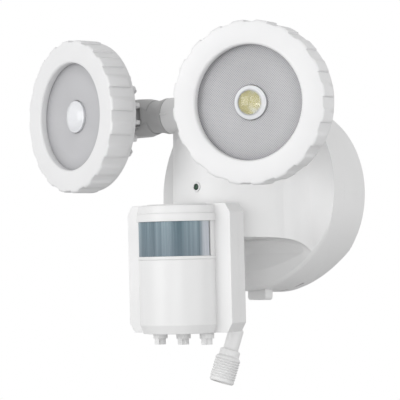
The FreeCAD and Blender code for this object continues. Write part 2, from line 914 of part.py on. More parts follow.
def sensor_slab(inset, front, back):
    """A slice of the sensor's body between two depths."""
    points = [point + V(0, front, 0) for point in sensor_outline(inset)]
    return prism(points, V(0, back - front, 0))


def bulge(radius, low, high):
    """The half-round front panel between two heights."""
    column = rod(radius, V(0, bulge_centre, low), V(0, bulge_centre, high))
    return column.common(box((-40, -40, low - 1), (40, 2, high + 1)))


def make_front_shell():
    """The sensor's front: frame, half-round panel, brow and sill, with the window opening."""
    slab = sensor_slab(0, 0, sensor_split)
    panel = turned([
        (0, bulge_bottom),
        (bulge_radius - bulge_chamfer * bulge_lean, bulge_bottom),
        (bulge_radius, bulge_bottom + bulge_chamfer),
        (bulge_radius, sensor_top - 1),
        (0, sensor_top - 1),
    ], axis=Z_AXIS)
    sill = turned([
        (0, sill_bottom),
        (bulge_radius, sill_bottom),
        (sill_radius, sill_bottom + 0.5),
        (sill_radius, sill_top),
        (0, sill_top),
    ], axis=Z_AXIS)
    brow = turned([
        (0, brow_bottom),
        (brow_radius, brow_bottom),
        (brow_radius, sensor_top - brow_slope[1]),
        (brow_radius - brow_slope[0], sensor_top),
        (0, sensor_top),
    ], axis=Z_AXIS)
    front = panel.fuse(sill).fuse(brow)
    front.translate(V(0, bulge_centre, 0))
    front = front.common(box((-40, -40, -60), (40, 2, 60)))
    outer = fused([slab, front])
    cavity = sensor_slab(sensor_wall, sensor_wall, sensor_split + 1)
    hollow = bulge(bulge_radius - sensor_wall, bulge_bottom + sensor_wall,
                   sensor_top - sensor_wall)
    hollow = hollow.common(box((-40, -40, -60), (40, sensor_wall + 1, 60)))
    slope = turned([
        (0, bulge_bottom + sensor_wall),
        (bulge_radius - sensor_wall - bulge_chamfer * bulge_lean, bulge_bottom + sensor_wall),
        (bulge_radius - sensor_wall, bulge_bottom + sensor_wall + bulge_chamfer),
        (bulge_radius - sensor_wall, sensor_top - sensor_wall - brow_slope[1]),
        (bulge_radius - sensor_wall - brow_slope[0], sensor_top - sensor_wall),
        (0, sensor_top - sensor_wall),
    ], axis=Z_AXIS)
    slope.translate(V(0, bulge_centre, 0))
    hollow = hollow.common(slope)
    shell = outer.cut(fused([cavity, hollow]))
    side = bulge_centre - math.sqrt(bulge_radius ** 2 - window_half_width ** 2)
    window = box((-window_half_width, -40, sill_top), (window_half_width, side, brow_bottom))
    cuts = [window, window_sheet(seat_gap)]
    for k in (-1, 0, 1):
        place = V(k * dial_spacing, dial_depth, 0)
        cuts.append(rod(dial_shaft_radius + 0.25, place + V(0, 0, bulge_bottom - 2),
                        place + V(0, 0, bulge_bottom + 6)))
    return shell.cut(Part.makeCompound(cuts))


def make_rear_shell():
    """The sensor's back shell with the two ears of its tilt hinge."""
    outer = sensor_slab(0, sensor_split, sensor_depth)
    inner = sensor_slab(sensor_wall, sensor_split - 1, sensor_depth - sensor_wall)
    shell = outer.cut(inner)
    place = tilt_pin_place()
    pieces = [shell]
    for side in (-1, 1):
        near = place.x + side * (lug_width / 2 + face_gap)
        far = near + side * ear_thickness
        low, high = min(near, far), max(near, far)
        eye = rod(ear_end_radius, V(low, place.y, place.z), V(high, place.y, place.z))
        web = box((low, sensor_depth - 1, place.z - ear_end_radius),
                  (high, place.y, place.z + ear_end_radius))
        pieces += [eye, web]
    for x, z in sensor_screw_places():
        pieces.append(rod(sensor_boss_radius, V(x, sensor_split, z), V(x, sensor_depth - 1, z)))
    body = fused(pieces)
    reach = V(lug_width / 2 + ear_thickness + 1, 0, 0)
    cuts = [rod(tilt_pin_radius, place - reach, place + reach)]
    for x, z in sensor_screw_places():
        cuts.append(rod(screw_radius + seat_gap, V(x, sensor_split - 1, z),
                        V(x, sensor_depth + 1, z)))
        cuts.append(rod(screw_head_radius + seat_gap, V(x, sensor_depth - screw_head_height, z),
                        V(x, sensor_depth + 1, z)))
    return body.cut(Part.makeCompound(cuts))


def sensor_screw_places():
    """Where the sensor's four screws stand in its own frame."""
    across, along = sensor_screw_margin
    reach = sensor_width / 2 - across
    return [(x, z) for x in (-reach, reach) for z in (sensor_bottom + along, sensor_top - along)]


def make_front_posts():
    """The four posts inside the front shell that take the screws."""
    posts = []
    for x, z in sensor_screw_places():
        post = rod(sensor_post_radius, V(x, sensor_wall - 0.5, z), V(x, sensor_split, z))
        posts.append(post.cut(rod(screw_radius - 0.2, V(x, sensor_wall + 1, z),
                                  V(x, sensor_split + 1, z))))
    return posts


def window_sheet(gap):
    """The curved window, or its seat in the shell when a gap is given."""
    radius = bulge_radius - window_setback
    thickness = window_thickness
    low = sill_top - window_overlap - gap
    high = brow_bottom + window_overlap + gap
    sheet = rod(radius + gap, V(0, bulge_centre, low), V(0, bulge_centre, high))
    if gap:
        thickness = radius
    sheet = sheet.cut(rod(radius - thickness, V(0, bulge_centre, low - 1),
                          V(0, bulge_centre, high + 1)))
    reach = min(window_half_width + window_overlap, radius) + gap
    return sheet.common(box((-reach, -40, low), (reach, -2 + gap, high)))


def make_sensor_board():
    """The sensor's circuit board."""
    middle = sensor_split - 2
    across, along = sensor_board_margin
    half = sensor_board_thickness / 2
    board = box((-sensor_width / 2 + across, middle - half, sensor_bottom + along),
                (sensor_width / 2 - across, middle + half, sensor_top - along))
    cuts = []
    for x, z in sensor_screw_places():
        cuts.append(rod(sensor_post_radius + face_gap, V(x, middle - 3, z), V(x, middle + 3, z)))
    return board.cut(Part.makeCompound(cuts))


def board_face():
    """The y of the sensor board's front face."""
    return sensor_split - 2 - sensor_board_thickness / 2


def make_pir():
    """The heat sensor's round can on its base."""
    face = board_face()
    base = rod(pir_radius + 0.8, V(0, face - 1, pir_height), V(0, face, pir_height))
    can = rod(pir_radius, V(0, face - pir_length, pir_height), V(0, face - 1, pir_height))
    return fused([base, can])


def make_pots():
    """Three trimmer bodies on the board, each with a hole for its dial's shaft."""
    pots = []
    low = bulge_bottom + sensor_wall + 2
    for k in (-1, 0, 1):
        x = k * dial_spacing
        body = box((x - pot_size[0] / 2, dial_depth - pot_size[1] / 2 + 0.5, low),
                   (x + pot_size[0] / 2, board_face(), low + pot_size[2]))
        hole = rod(dial_shaft_radius + running_gap, V(x, dial_depth, low - 1),
                   V(x, dial_depth, low + pot_size[2] - 1))
        pots.append(body.cut(hole))
    return pots


def make_dial():
    """One adjusting dial: round top, narrower foot with a pointer bar, and shaft."""
    top = bulge_bottom - face_gap
    middle = top - dial_height
    low = middle - dial_foot_height
    disc = rod(dial_radius, V(0, 0, middle), V(0, 0, top))
    foot = rod(dial_foot_radius, V(0, 0, low), V(0, 0, middle))
    bar = centred_box((0, -0.8, (low + middle) / 2), (3.4, 2 * dial_radius - 1.6,
                                                    dial_foot_height))
    shaft = rod(dial_shaft_radius, V(0, 0, top), V(0, 0, top + dial_shaft_length))
    return fused([disc, foot, bar, shaft])


def make_sensor_screws():
    """Four screws from the back of the sensor."""
    screws = []
    for x, z in sensor_screw_places():
        head = rod(screw_head_radius, V(x, sensor_depth - screw_head_height, z),
                   V(x, sensor_depth - 0.4, z))
        shank = rod(screw_radius - 0.3, V(x, sensor_wall + 3, z),
                    V(x, sensor_depth - screw_head_height, z))
        screws.append(fused([head, shank]))
    return screws


# Power pieces inside the case

def cell_heights():
    return [k * cell_pitch for k in (-1, 0, 1)]


def make_battery_tray():
    """The tray on the back wall with a round trough for each cell."""
    half_x = cell_length / 2 + contact_thickness + tray_end
    half_z = cell_pitch + cell_radius + 2
    tray = box((-half_x, -back_wall - tray_height, -half_z), (half_x, -back_wall, half_z))
    inner = cell_length / 2 + contact_thickness + 0.2
    cuts = []
    for z in cell_heights():
        cuts.append(rod(cell_radius + seat_gap, V(-inner, -cell_depth, z),
                        V(inner, -cell_depth, z)))
    return tray.cut(Part.makeCompound(cuts))


def make_cells():
    """Three rechargeable cells."""
    cells = []
    for z in cell_heights():
        body = rod(cell_radius, V(-cell_length / 2, -cell_depth, z),
                   V(cell_length / 2 - 1, -cell_depth, z))
        tip = rod(2.8, V(cell_length / 2 - 1, -cell_depth, z), V(cell_length / 2, -cell_depth, z))
        cells.append(fused([body, tip]))
    return cells


def make_contacts():
    """A contact plate at each end of each cell."""
    plates = []
    size = 2 * cell_radius - 7
    for z in cell_heights():
        for side in (-1, 1):
            x = side * (cell_length / 2 + contact_thickness / 2 + 0.05)
            plates.append(centred_box((x, -cell_depth + 1.5, z), (contact_thickness, size, size)))
    return plates


def make_main_board():
    """The driver and charging board on its four posts."""
    middle = -board_setback - board_size[1] / 2
    board = centred_box((0, middle, 0), board_size)
    cuts = []
    for x, z in board_post_places():
        cuts.append(rod(screw_radius + 2 * seat_gap, V(x, middle - 3, z), V(x, middle + 3, z)))
    return board.cut(Part.makeCompound(cuts))


def make_board_screws():
    """Four screws through the main board into its posts."""
    screws = []
    face = -board_setback - board_size[1]
    for x, z in board_post_places():
        head = rod(screw_head_radius - 0.4, V(x, face - screw_head_height, z), V(x, face, z))
        shank = rod(screw_radius, V(x, face, z), V(x, -board_setback + board_screw_bite, z))
        screws.append(fused([head, shank]))
    return screws


def make_case_screws():
    """Four screws from the back into the front cover."""
    screws = []
    for x, z in screw_places():
        head = rod(screw_head_radius, V(x, -back_wall, z),
                   V(x, -back_wall + screw_head_height, z))
        shank = rod(screw_radius, V(x, -case_depth - case_screw_bite, z), V(x, -back_wall, z))
        screws.append(fused([head, shank]))
    return screws


def make_hub_screws():
    """Two screws from inside the housing into the hub's back."""
    screws = []
    for place in hub_screw_places():
        inside = place + V(0, cover_wall, 0)
        head = rod(screw_head_radius - 0.4, inside, inside + V(0, 2, 0))
        shank = rod(screw_radius, place - V(0, hub_screw_bite, 0), inside)
        screws.append(fused([head, shank]))
    return screws


def make_indicator():
    """The green indicator lens, with a rounded tip."""
    front = -tower_centre - tower_radius - indicator_proud
    body = turned([
        (0, front + indicator_length),
        (indicator_radius, front + indicator_length),
        (indicator_radius, front + 1.2),
        round_arc((indicator_radius - 1.2, front + 1.2), 1.2, 0, -90),
        (0, front),
    ])
    body.translate(V(0, 0, indicator_height))
    return body


def make_indicator_bezel():
    """The pale bush that holds the indicator."""
    front = -tower_centre - tower_radius - indicator_proud
    bush = tube(indicator_bezel_radius, indicator_radius + seat_gap,
                V(0, front, indicator_height), V(0, front + indicator_length - 1,
                                                 indicator_height))
    flange = tube(indicator_bezel_radius + 1.4, indicator_radius + seat_gap,
                  V(0, front + cover_wall + 1.2, indicator_height),
                  V(0, front + cover_wall + 2.2, indicator_height))
    return fused([bush, flange])


def button_place():
    """The button's x and y, with its switch just behind the sloping front face."""
    slope = (face_flat_depth - crease_depth) / (crease_radius - face_flat_radius)
    away = math.hypot(button_across + switch_size[0] / 2, button_pad_top())
    inside = -face_flat_depth + (away - face_flat_radius) * slope + cover_wall
    return button_across, inside + face_gap + switch_size[1] / 2


def button_pad_top():
    """The height of the flat inside the cover that the button's switch stands on."""
    return under_z() + button_pad_rise


def make_button():
    """The push button: a tab with rounded lower corners and a flange inside."""
    bx, by = button_place()
    wide, deep = button_size
    top = button_pad_top() + face_gap
    low = under_z() - button_proud
    tab = box((bx - wide / 2, by - deep / 2, low), (bx + wide / 2, by + deep / 2, top + 1))
    corners = [edge for edge in tab.Edges
               if edge.BoundBox.YLength > 1 and edge.BoundBox.ZMax < low + 0.1]
    tab = tab.makeFillet(button_corner, corners)
    flange = centred_box((bx, by, top + button_flange_thickness / 2),
                         (wide + 2 * button_flange, deep + 2 * button_flange,
                          button_flange_thickness))
    return fused([tab, flange])


def make_switch():
    """The switch's body over the button, hollow below for the button's flange."""
    bx, by = button_place()
    low = button_pad_top()
    body = centred_box((bx, by, low + switch_size[2] / 2), switch_size)
    room = button_flange + 2 * face_gap
    height = 2 * face_gap + button_flange_thickness + button_travel
    cavity = centred_box((bx, by, low + (height - 1) / 2),
                         (button_size[0] + 2 * room, button_size[1] + 2 * room, height + 1))
    return body.cut(cavity)


# Solar panel lead

def make_gland():
    """The bush where the lead leaves the housing, flanged outside and inside."""
    out = lead_route[0]
    low = V(out.x, out.y, under_z() - gland_flange_thickness)
    seat = V(out.x, out.y, under_z())
    inside = seat + V(0, 0, gland_grip)
    top = inside + V(0, 0, gland_flange_thickness)
    return fused([rod(gland_radius, low, top), rod(gland_flange_radius, low, seat),
                  rod(gland_flange_radius, inside, top)])


def lead_path(points):
    """Straight runs joined by tangent arcs, and the least radius used."""
    edges = []
    last = points[0]
    least = None
    for i in range(1, len(points) - 1):
        before = points[i] - points[i - 1]
        after = points[i + 1] - points[i]
        turn = before.getAngle(after)
        reach = 0.45 * min(before.Length, after.Length)
        radius = reach / math.tan(turn / 2)
        least = radius if least is None else min(least, radius)
        incoming = V(before).normalize()
        outgoing = V(after).normalize()
        start = points[i] - incoming * reach
        end = points[i] + outgoing * reach
        inward = (outgoing - incoming).normalize()
        centre = points[i] + inward * (radius / math.cos(turn / 2))
        middle = centre - inward * radius
        edges.append(Part.makeLine(last, start))
        edges.append(Part.Arc(start, middle, end).toShape())
        last = end
    edges.append(Part.makeLine(last, points[-1]))
    return Part.Wire(edges), least


def lead_pipe(radius):
    """A round bar along the lead's path."""
    path, least = lead_path(lead_route)
    along = lead_route[1] - lead_route[0]
    profile = Part.Wire([Part.makeCircle(radius, lead_route[0], along)])
    return path.makePipeShell([profile], True, False)


def make_lead():
    """The free stretch of the lead, from the gland to the floor of the boot's sleeve."""
    path, least = lead_path(lead_route)
    lead = lead_pipe(lead_diameter / 2)
    section = math.pi * (lead_diameter / 2) ** 2
    print("lead least radius", round(least, 1), "length", round(path.Length, 1),
          "volume", round(lead.Volume), "section x length", round(section * path.Length))
    return lead


def plug_frame():
    """The plug's frame: its origin at the boot's top, +Y down along the plug."""
    end = lead_route[-1]
    along = end - lead_route[-2]
    return FreeCAD.Placement(end, FreeCAD.Rotation(Y_AXIS, along))


def make_boot():
    """The moulded boot, its top a sleeve over the lead's end, in the plug's frame."""
    r = boot_round
    top = -boot_sleeve
    boot = turned([
        (0, top),
        (boot_radius - r, top),
        round_arc((boot_radius - r, top + r), r, -90, 0),
        (boot_radius, boot_length),
        (0, boot_length),
    ])
    sleeve = lead_pipe(lead_diameter / 2 + running_gap)
    sleeve.Placement = plug_frame().inverse().multiply(sleeve.Placement)
    return boot.cut(sleeve)


def make_plug():
    """The plug: collar, ridged grip thread and the open socket end."""
    start = boot_length
    low = start + plug_collar_length
    end = low + plug_length
    outline = [
        (0, start),
        (plug_collar_radius - 0.6, start),
        (plug_collar_radius, start + 0.6),
        (plug_collar_radius, low - 0.5),
        (plug_radius - 0.3, low + 0.8),
    ]
    first = low + 1.6
    for k in range(plug_ridges):
        top = first + k * plug_ridge_pitch
        outline.append((plug_radius, top))
        outline.append((plug_radius, top + plug_ridge_pitch * 0.45))
        outline.append((plug_radius - plug_ridge_depth, top + plug_ridge_pitch * 0.6))
        outline.append((plug_radius - plug_ridge_depth, top + plug_ridge_pitch * 0.85))
    last = first + plug_ridges * plug_ridge_pitch
    outline.append((plug_radius - 0.2, last))
    outline.append((plug_radius - 0.2, end - 0.8))
    outline.append((plug_radius - 1.0, end))
    outline.append((plug_socket_radius, end))
    outline.append((plug_socket_radius, end - plug_socket_depth))
    outline.append((0, end - plug_socket_depth))
    return turned(outline)


def make_plug_pins():
    """The two contact pins in the plug's socket."""
    floor = boot_length + plug_collar_length + plug_length - plug_socket_depth
    pins = []
    for side in (-1, 1):
        x = side * plug_pin_spacing / 2
        pins.append(rod(plug_pin_radius, V(x, floor, 0), V(x, floor + 7, 0)))
    return pins


def make_plug_seal():
    """The ring seal at the bottom of the socket."""
    floor = boot_length + plug_collar_length + plug_length - plug_socket_depth
    return tube(plug_socket_radius - 0.1, plug_socket_radius - 1.6, V(0, floor, 0),
                V(0, floor + 1.6, 0))


def save_housing():
    """Writes the pieces that stay on the wall."""
    save("rear_case", make_rear_case())
    save("wall_seal", make_wall_seal())
    save("rim_seal", make_rim_seal())
    save("front_cover", make_front_cover())
    save("arm_hub", make_arm_hub())
    save_group("case_screws", make_case_screws())
    save_group("hub_screws", make_hub_screws())
    save("battery_tray", make_battery_tray())
    save_group("battery_cells", make_cells())
    save_group("battery_contacts", make_contacts())
    save("main_board", make_main_board())
    save_group("board_screws", make_board_screws())
    save("indicator_lens", make_indicator())
    save("indicator_bezel", make_indicator_bezel())
    save("switch_body", make_switch())
    save("push_button", make_button())


def save_lead():
    """Writes the lead with its gland, boot and plug."""
    save("lead_gland", make_gland())
    save("solar_lead", make_lead())
    frame = plug_frame()
    save("plug_boot", placed(make_boot(), frame))
    save("plug_body", placed(make_plug(), frame))
    save_group("plug_pins", [placed(pin, frame) for pin in make_plug_pins()])
    save("plug_seal", placed(make_plug_seal(), frame))


def save_arm_and_head(side):
    """Writes one arm and its lamp head."""
    word = "left_" if side < 0 else "right_"
    arm = arm_frame(side)
    save(word + "arm", placed(mirrored(make_arm(), side), arm))
    save(word + "arm_retainer", placed(mirrored(make_arm_retainer(), side), arm))
    save(word + "pan_pin", placed(mirrored(make_pan_pin(), side), arm))
    head = head_frame(side)
    save(word + "head_cup", placed(make_head_cup(), head))
    save(word + "led_board", placed(make_led_board(), head))
    save(word + "led_chip", placed(make_led_chip(), head))
    save(word + "led_lens", placed(make_led_lens(), head))
    save(word + "reflector", placed(make_reflector(), head))
    save(word + "ring_seal", placed(make_ring_seal(), head))
    save(word + "bezel_ring", placed(make_bezel_ring(), head))


def save_sensor():
    """Writes the swivel and the motion sensor."""
    pan = pan_frame()
    save("sensor_swivel", placed(make_swivel(), pan))
    save("swivel_retainer", placed(make_swivel_retainer(), pan))
    sensor = sensor_frame()
    save("tilt_pin", placed(make_tilt_pin(), sensor))
    front = fused([make_front_shell()] + make_front_posts())
    save("sensor_front_shell", placed(front, sensor))
    save("sensor_rear_shell", placed(make_rear_shell(), sensor))
    save("sensor_window", placed(window_sheet(0), sensor))
    save("sensor_board", placed(make_sensor_board(), sensor))
    save("heat_sensor", placed(make_pir(), sensor))
    save_group("dial_trimmers", [placed(pot, sensor) for pot in make_pots()])
    save_group("sensor_screws", [placed(screw, sensor) for screw in make_sensor_screws()])
    names = ("range_dial", "time_dial", "dusk_dial")
    for k, name in zip((-1, 0, 1), names):
        spot = FreeCAD.Placement(V(k * dial_spacing, dial_depth, 0), FreeCAD.Rotation())
        save(name, placed(make_dial(), sensor.multiply(spot)))


if __name__ == "__main__":
    os.makedirs("parts", exist_ok=True)
    save_housing()
    save_lead()
    for side in (-1, 1):
        save_arm_and_head(side)
    save_sensor()
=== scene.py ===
import bmesh
import bpy
import json
import math
from mathutils import Matrix, Vector


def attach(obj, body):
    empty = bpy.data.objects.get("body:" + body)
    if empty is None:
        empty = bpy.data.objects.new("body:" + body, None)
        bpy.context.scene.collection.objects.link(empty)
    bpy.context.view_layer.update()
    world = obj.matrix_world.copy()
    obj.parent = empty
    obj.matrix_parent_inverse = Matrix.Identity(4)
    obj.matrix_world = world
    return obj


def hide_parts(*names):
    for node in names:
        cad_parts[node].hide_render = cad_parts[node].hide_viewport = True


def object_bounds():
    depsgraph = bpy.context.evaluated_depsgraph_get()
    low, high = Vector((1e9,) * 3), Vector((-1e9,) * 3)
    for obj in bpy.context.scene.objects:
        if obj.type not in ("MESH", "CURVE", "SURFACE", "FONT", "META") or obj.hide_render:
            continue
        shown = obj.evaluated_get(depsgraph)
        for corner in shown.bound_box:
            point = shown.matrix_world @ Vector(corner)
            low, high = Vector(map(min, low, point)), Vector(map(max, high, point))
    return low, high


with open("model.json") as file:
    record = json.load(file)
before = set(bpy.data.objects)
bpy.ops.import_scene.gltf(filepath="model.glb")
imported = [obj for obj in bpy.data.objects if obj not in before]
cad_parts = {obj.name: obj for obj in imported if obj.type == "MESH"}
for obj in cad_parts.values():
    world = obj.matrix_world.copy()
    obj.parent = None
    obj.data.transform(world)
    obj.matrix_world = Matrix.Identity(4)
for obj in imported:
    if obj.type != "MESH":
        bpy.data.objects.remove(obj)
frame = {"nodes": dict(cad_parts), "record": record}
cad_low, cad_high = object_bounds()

mm = 0.001
sides = {"left": -1, "right": 1}

# Camera, where the photograph was taken from, places in metres
camera_place = (0.8666, -1.0976, -0.0949)
camera_target = (0.0385, -0.1450, -0.0111)
camera_focal_pixels = 1944
photo_width = 400
film_width = 36.0

# Solar panel lead, its route in millimetres from the housing's bush to the plug's boot
lead_diameter = 3.8 * mm
lead_route = [
    (-19.7, -40.2, -69.7),
    (-19.7, -40.2, -73.9),
    (-18.9, -40.3, -77.1),
    (-17.4, -40.7, -80.0),
    (-15.4, -41.4, -82.5),
    (-13.3, -42.8, -84.6),
    (-11.5, -44.7, -86.6),
    (-10.3, -46.8, -88.9),
    (-9.8, -48.7, -91.5),
    (-9.8, -50.2, -94.5),
    (-10.3, -51.0, -97.6),
]

# Places of the lamp heads, in millimetres and degrees
arm_axis = (0, -93, 53.4)
knuckle_offset = 64.8
head_turn = {"left": 12.2, "right": 16.6}
head_dip = {"left": 2.1, "right": 4.2}

# Grip ring of a lamp, in the head's own frame, front to -Y
ring_front = -58.2
ring_back = -37.6
ring_radius = 51.6
ring_bore = 45.1
ring_lip = 5.2
ring_back_round = 0.5
aperture_radius = 37.1
aperture_bevel = 1.0
pad_count = 20
pad_height = 1.25
pad_end = -40.7
# One pad over its share of the round, steep on one side and soft on the other
pad_form = [(0.0, 0.0), (0.008, 0.45), (0.018, 0.85), (0.035, 1.0), (0.15, 1.0), (0.30, 1.0),
            (0.44, 1.0), (0.49, 0.92), (0.54, 0.62), (0.58, 0.3), (0.62, 0.08), (0.66, 0.0),
            (0.83, 0.0), (1.0, 0.0)]
# The rounding of a pad's rear end: share of the pad's height, distance behind the end
pad_end_form = [(0.0, 0.35), (0.15, 0.1), (0.8, -0.1), (1.0, -0.45)]
# The rounding of the front edge: drop of the rim, share of the pad's height, distance behind
front_form = [(0.0, 1.0, 1.5), (0.0, 0.9, 0.9), (0.1, 0.65, 0.45), (0.45, 0.35, 0.12),
              (0.9, 0.2, 0.0)]
# The softened bevel of the opening: radius and distance behind, from its two corners
bevel_outer_form = [(0.2, 0.0), (-0.1, 0.08)]
bevel_inner_form = [(0.1, -0.1), (0.0, 0.2)]

# Dish and dome of a lamp
# The dish tone is painted light: the left dish is painted lit and the right dish painted in shade
dish_painted_light_tone = {"left": 0.93, "right": 0.68}
dome_milk = {"left": 0.9, "right": 0.05}
dome_base = -48.4
dome_rim = -53.5
dome_radius = 11.0
dome_crown = 2.9
dome_edge = 0.5
dome_bore = 8.2
dome_pocket = -53.2
dome_clear_share = 0.72

# Motion sensor, in millimetres and degrees, the window in the sensor's own frame
swivel_axis = (0, -82, -45.7)
tilt_reach = 10
sensor_turn = 11.0
sensor_dip = 2.7
sensor_shift = (-2.5, -38.2, -6.8)
sensor_depth = 18.7
window_centre = 1.6
window_radius = 27.4
window_low = 7.95
window_high = 30.85
window_thickness = 0.8
window_half_angle = 76
window_strips = 36
strip_bulge = 0.25

# Screws
screw_head_radius = 3.2
screw_head_height = 2.2
screw_head_round = 1.0
screw_shank_radius = 1.5
screw_point_radius = 1.0
screw_point_length = 0.8
recess_width = 0.9
recess_length = 3.4
recess_depth = 1.2
cutter_overrun = 1
sensor_screw_across = 33.5
sensor_screw_low = -34.3
sensor_screw_high = 33.7
sensor_screw_sink = 0.4
sensor_screw_end = 5.0
sensor_screw_seed = 3
case_screw_circle = 51.0
case_screw_angle = 52.0
case_screw_top = -0.8
case_screw_end = -46.0
case_screw_seed = 8

# How much a mesh is welded, and a made piece's steps
weld_reach = 0.002 * mm
segment_weld = 0.003 * mm
dome_steps = 72
screw_steps = 32
strip_steps = 6

# Fine relief of each finish: strength, and depth in metres
plastic_relief = (0.5, 0.00004)
metal_relief = (0.4, 0.00002)
dish_relief = (0.45, 0.00012)
dome_relief = (0.04, 0.0002)
phosphor_relief = (0.1, 0.00002)
window_relief = (0.15, 0.0002)
board_relief = (0.3, 0.00003)

# Light: the tent's strength, its gain from the front and loss from above and below
tent_strength = 0.68
tent_front_gain = 0.20
tent_pole_loss = 0.50
# Each lamp's place in metres, its size and its watts
lamps = {
    "key": ((-0.6, -1.9, 0.2), 1.0, 10.5),
    "fill": ((1.0, -1.7, -0.5), 0.7, 12.5),
    "side": ((2.0, -0.3, -0.1), 1.2, 9.5),
}
lamp_aim = (0, -0.08, 0)
floor_drop = 0.20
floor_half = 1.6
floor_colour = (0.7, 0.7, 0.7, 1)


# Making meshes

def link(piece):
    """Puts an object into the scene."""
    bpy.context.scene.collection.objects.link(piece)
    return piece


def raw_mesh(name, places, faces):
    """A mesh from places in millimetres."""
    mesh = bpy.data.meshes.new(name)
    mesh.from_pydata([Vector(place) * mm for place in places], [], faces)
    return mesh


def cleaned(mesh, sharp=35):
    """Welds a mesh, closes its holes, turns its faces outwards and smooths its curves."""
    work = bmesh.new()
    work.from_mesh(mesh)
    bmesh.ops.remove_doubles(work, verts=work.verts, dist=weld_reach)
    bmesh.ops.holes_fill(work, edges=work.edges, sides=0)
    bmesh.ops.recalc_face_normals(work, faces=work.faces)
    for face in work.faces:
        face.smooth = True
    work.to_mesh(mesh)
    work.free()
    mesh.set_sharp_from_angle(angle=math.radians(sharp))
    return mesh


def turned(outline, steps):
    """Places and faces of a (radius, depth) outline turned once about the Y axis."""
    places = []
    for k in range(steps):
        turn = 2 * math.pi * k / steps
        for radius, depth in outline:
            places.append((radius * math.cos(turn), depth, radius * math.sin(turn)))
    faces = []
    size = len(outline)
    for k in range(steps):
        here = k * size
        there = (k + 1) % steps * size
        for i in range(size):
            after = (i + 1) % size
            faces.append((here + i, here + after, there + after, there + i))
    return places, faces


def arc(centre, radius, start, end, steps):
    """Points of an arc in (radius, depth) coordinates, angles in degrees."""
    points = []
    for k in range(steps + 1):
        turn = math.radians(start + (end - start) * k / steps)
        points.append((centre[0] + radius * math.cos(turn), centre[1] + radius * math.sin(turn)))
    return points


def evaluated(piece):
    """A plain mesh of an object with its modifiers applied."""
    state = bpy.context.evaluated_depsgraph_get()
    return bpy.data.meshes.new_from_object(piece.evaluated_get(state))


def head_place(word):
    """The place of a lamp head's own frame."""
    side = sides[word]
    arm = Matrix.Translation(Vector(arm_axis) * mm)
    arm = arm @ Matrix.Rotation(math.radians(head_dip[word]), 4, "X")
    pin = Matrix.Translation(Vector((side * knuckle_offset, 0, 0)) * mm)
    return arm @ pin @ Matrix.Rotation(math.radians(side * head_turn[word]), 4, "Z")


def sensor_place():
    """The place of the sensor's own frame."""
    pan = Matrix.Translation(Vector(swivel_axis) * mm)
    pan = pan @ Matrix.Rotation(math.radians(sensor_turn), 4, "Z")
    tilt = Matrix.Translation(Vector((0, -tilt_reach, 0)) * mm)
    tilt = tilt @ Matrix.Rotation(math.radians(sensor_dip), 4, "X")
    return pan @ tilt @ Matrix.Translation(Vector(sensor_shift) * mm)


# Geometry node trees

def tree_with(name, inputs):
    """An empty geometry tree with a mesh in, a mesh out and its own named inputs."""
    tree = bpy.data.node_groups.new(name, "GeometryNodeTree")
    tree.interface.new_socket("Geometry", in_out="INPUT", socket_type="NodeSocketGeometry")
    for word, kind in inputs:
        tree.interface.new_socket(word, in_out="INPUT", socket_type="NodeSocket" + kind)
    tree.interface.new_socket("Geometry", in_out="OUTPUT", socket_type="NodeSocketGeometry")
    return tree, add(tree, "NodeGroupInput"), add(tree, "NodeGroupOutput")


def add(tree, kind, **settings):
    """A new node with its settings."""
    node = tree.nodes.new(kind)
    for word, value in settings.items():
        setattr(node, word, value)
    return node


def grown(name, mesh, tree, values):
    """The mesh that a tree makes of another mesh, its inputs set by name."""
    start = link(bpy.data.objects.new(name, mesh))
    modifier = start.modifiers.new("tree", "NODES")
    modifier.node_group = tree
    for item in tree.interface.items_tree:
        if item.item_type == "SOCKET" and item.in_out == "INPUT" and item.name in values:
            modifier[item.identifier] = values[item.name]
    made = evaluated(start)
    start.modifiers.remove(modifier)
    bpy.data.objects.remove(start)
    return made


def make_round_tree():
    """Repeats one segment round an axis and joins the segments."""
    tree, given, result = tree_with("segments_round_axis", [
        ("Count", "Int"), ("Step", "Float"), ("Start", "Float"), ("Axis", "Vector"),
        ("Weld", "Float"), ("Finish", "Material")])
    tree.interface.items_tree["Axis"].default_value = (0, 1, 0)
    points = add(tree, "GeometryNodePoints")
    index = add(tree, "GeometryNodeInputIndex")
    turn = add(tree, "ShaderNodeMath", operation="MULTIPLY_ADD")
    rotation = add(tree, "FunctionNodeAxisAngleToRotation")
    copies = add(tree, "GeometryNodeInstanceOnPoints")
    real = add(tree, "GeometryNodeRealizeInstances")
    weld = add(tree, "GeometryNodeMergeByDistance")
    paint = add(tree, "GeometryNodeSetMaterial")
    join = tree.links.new
    join(given.outputs["Count"], points.inputs["Count"])
    join(index.outputs[0], turn.inputs[0])
    join(given.outputs["Step"], turn.inputs[1])
    join(given.outputs["Start"], turn.inputs[2])
    join(given.outputs["Axis"], rotation.inputs["Axis"])
    join(turn.outputs[0], rotation.inputs["Angle"])
    join(points.outputs[0], copies.inputs["Points"])
    join(given.outputs["Geometry"], copies.inputs["Instance"])
    join(rotation.outputs[0], copies.inputs["Rotation"])
    join(copies.outputs[0], real.inputs[0])
    join(real.outputs[0], weld.inputs["Geometry"])
    join(given.outputs["Weld"], weld.inputs["Distance"])
    join(weld.outputs[0], paint.inputs["Geometry"])
    join(given.outputs["Finish"], paint.inputs["Material"])
    join(paint.outputs[0], result.inputs[0])
    return tree


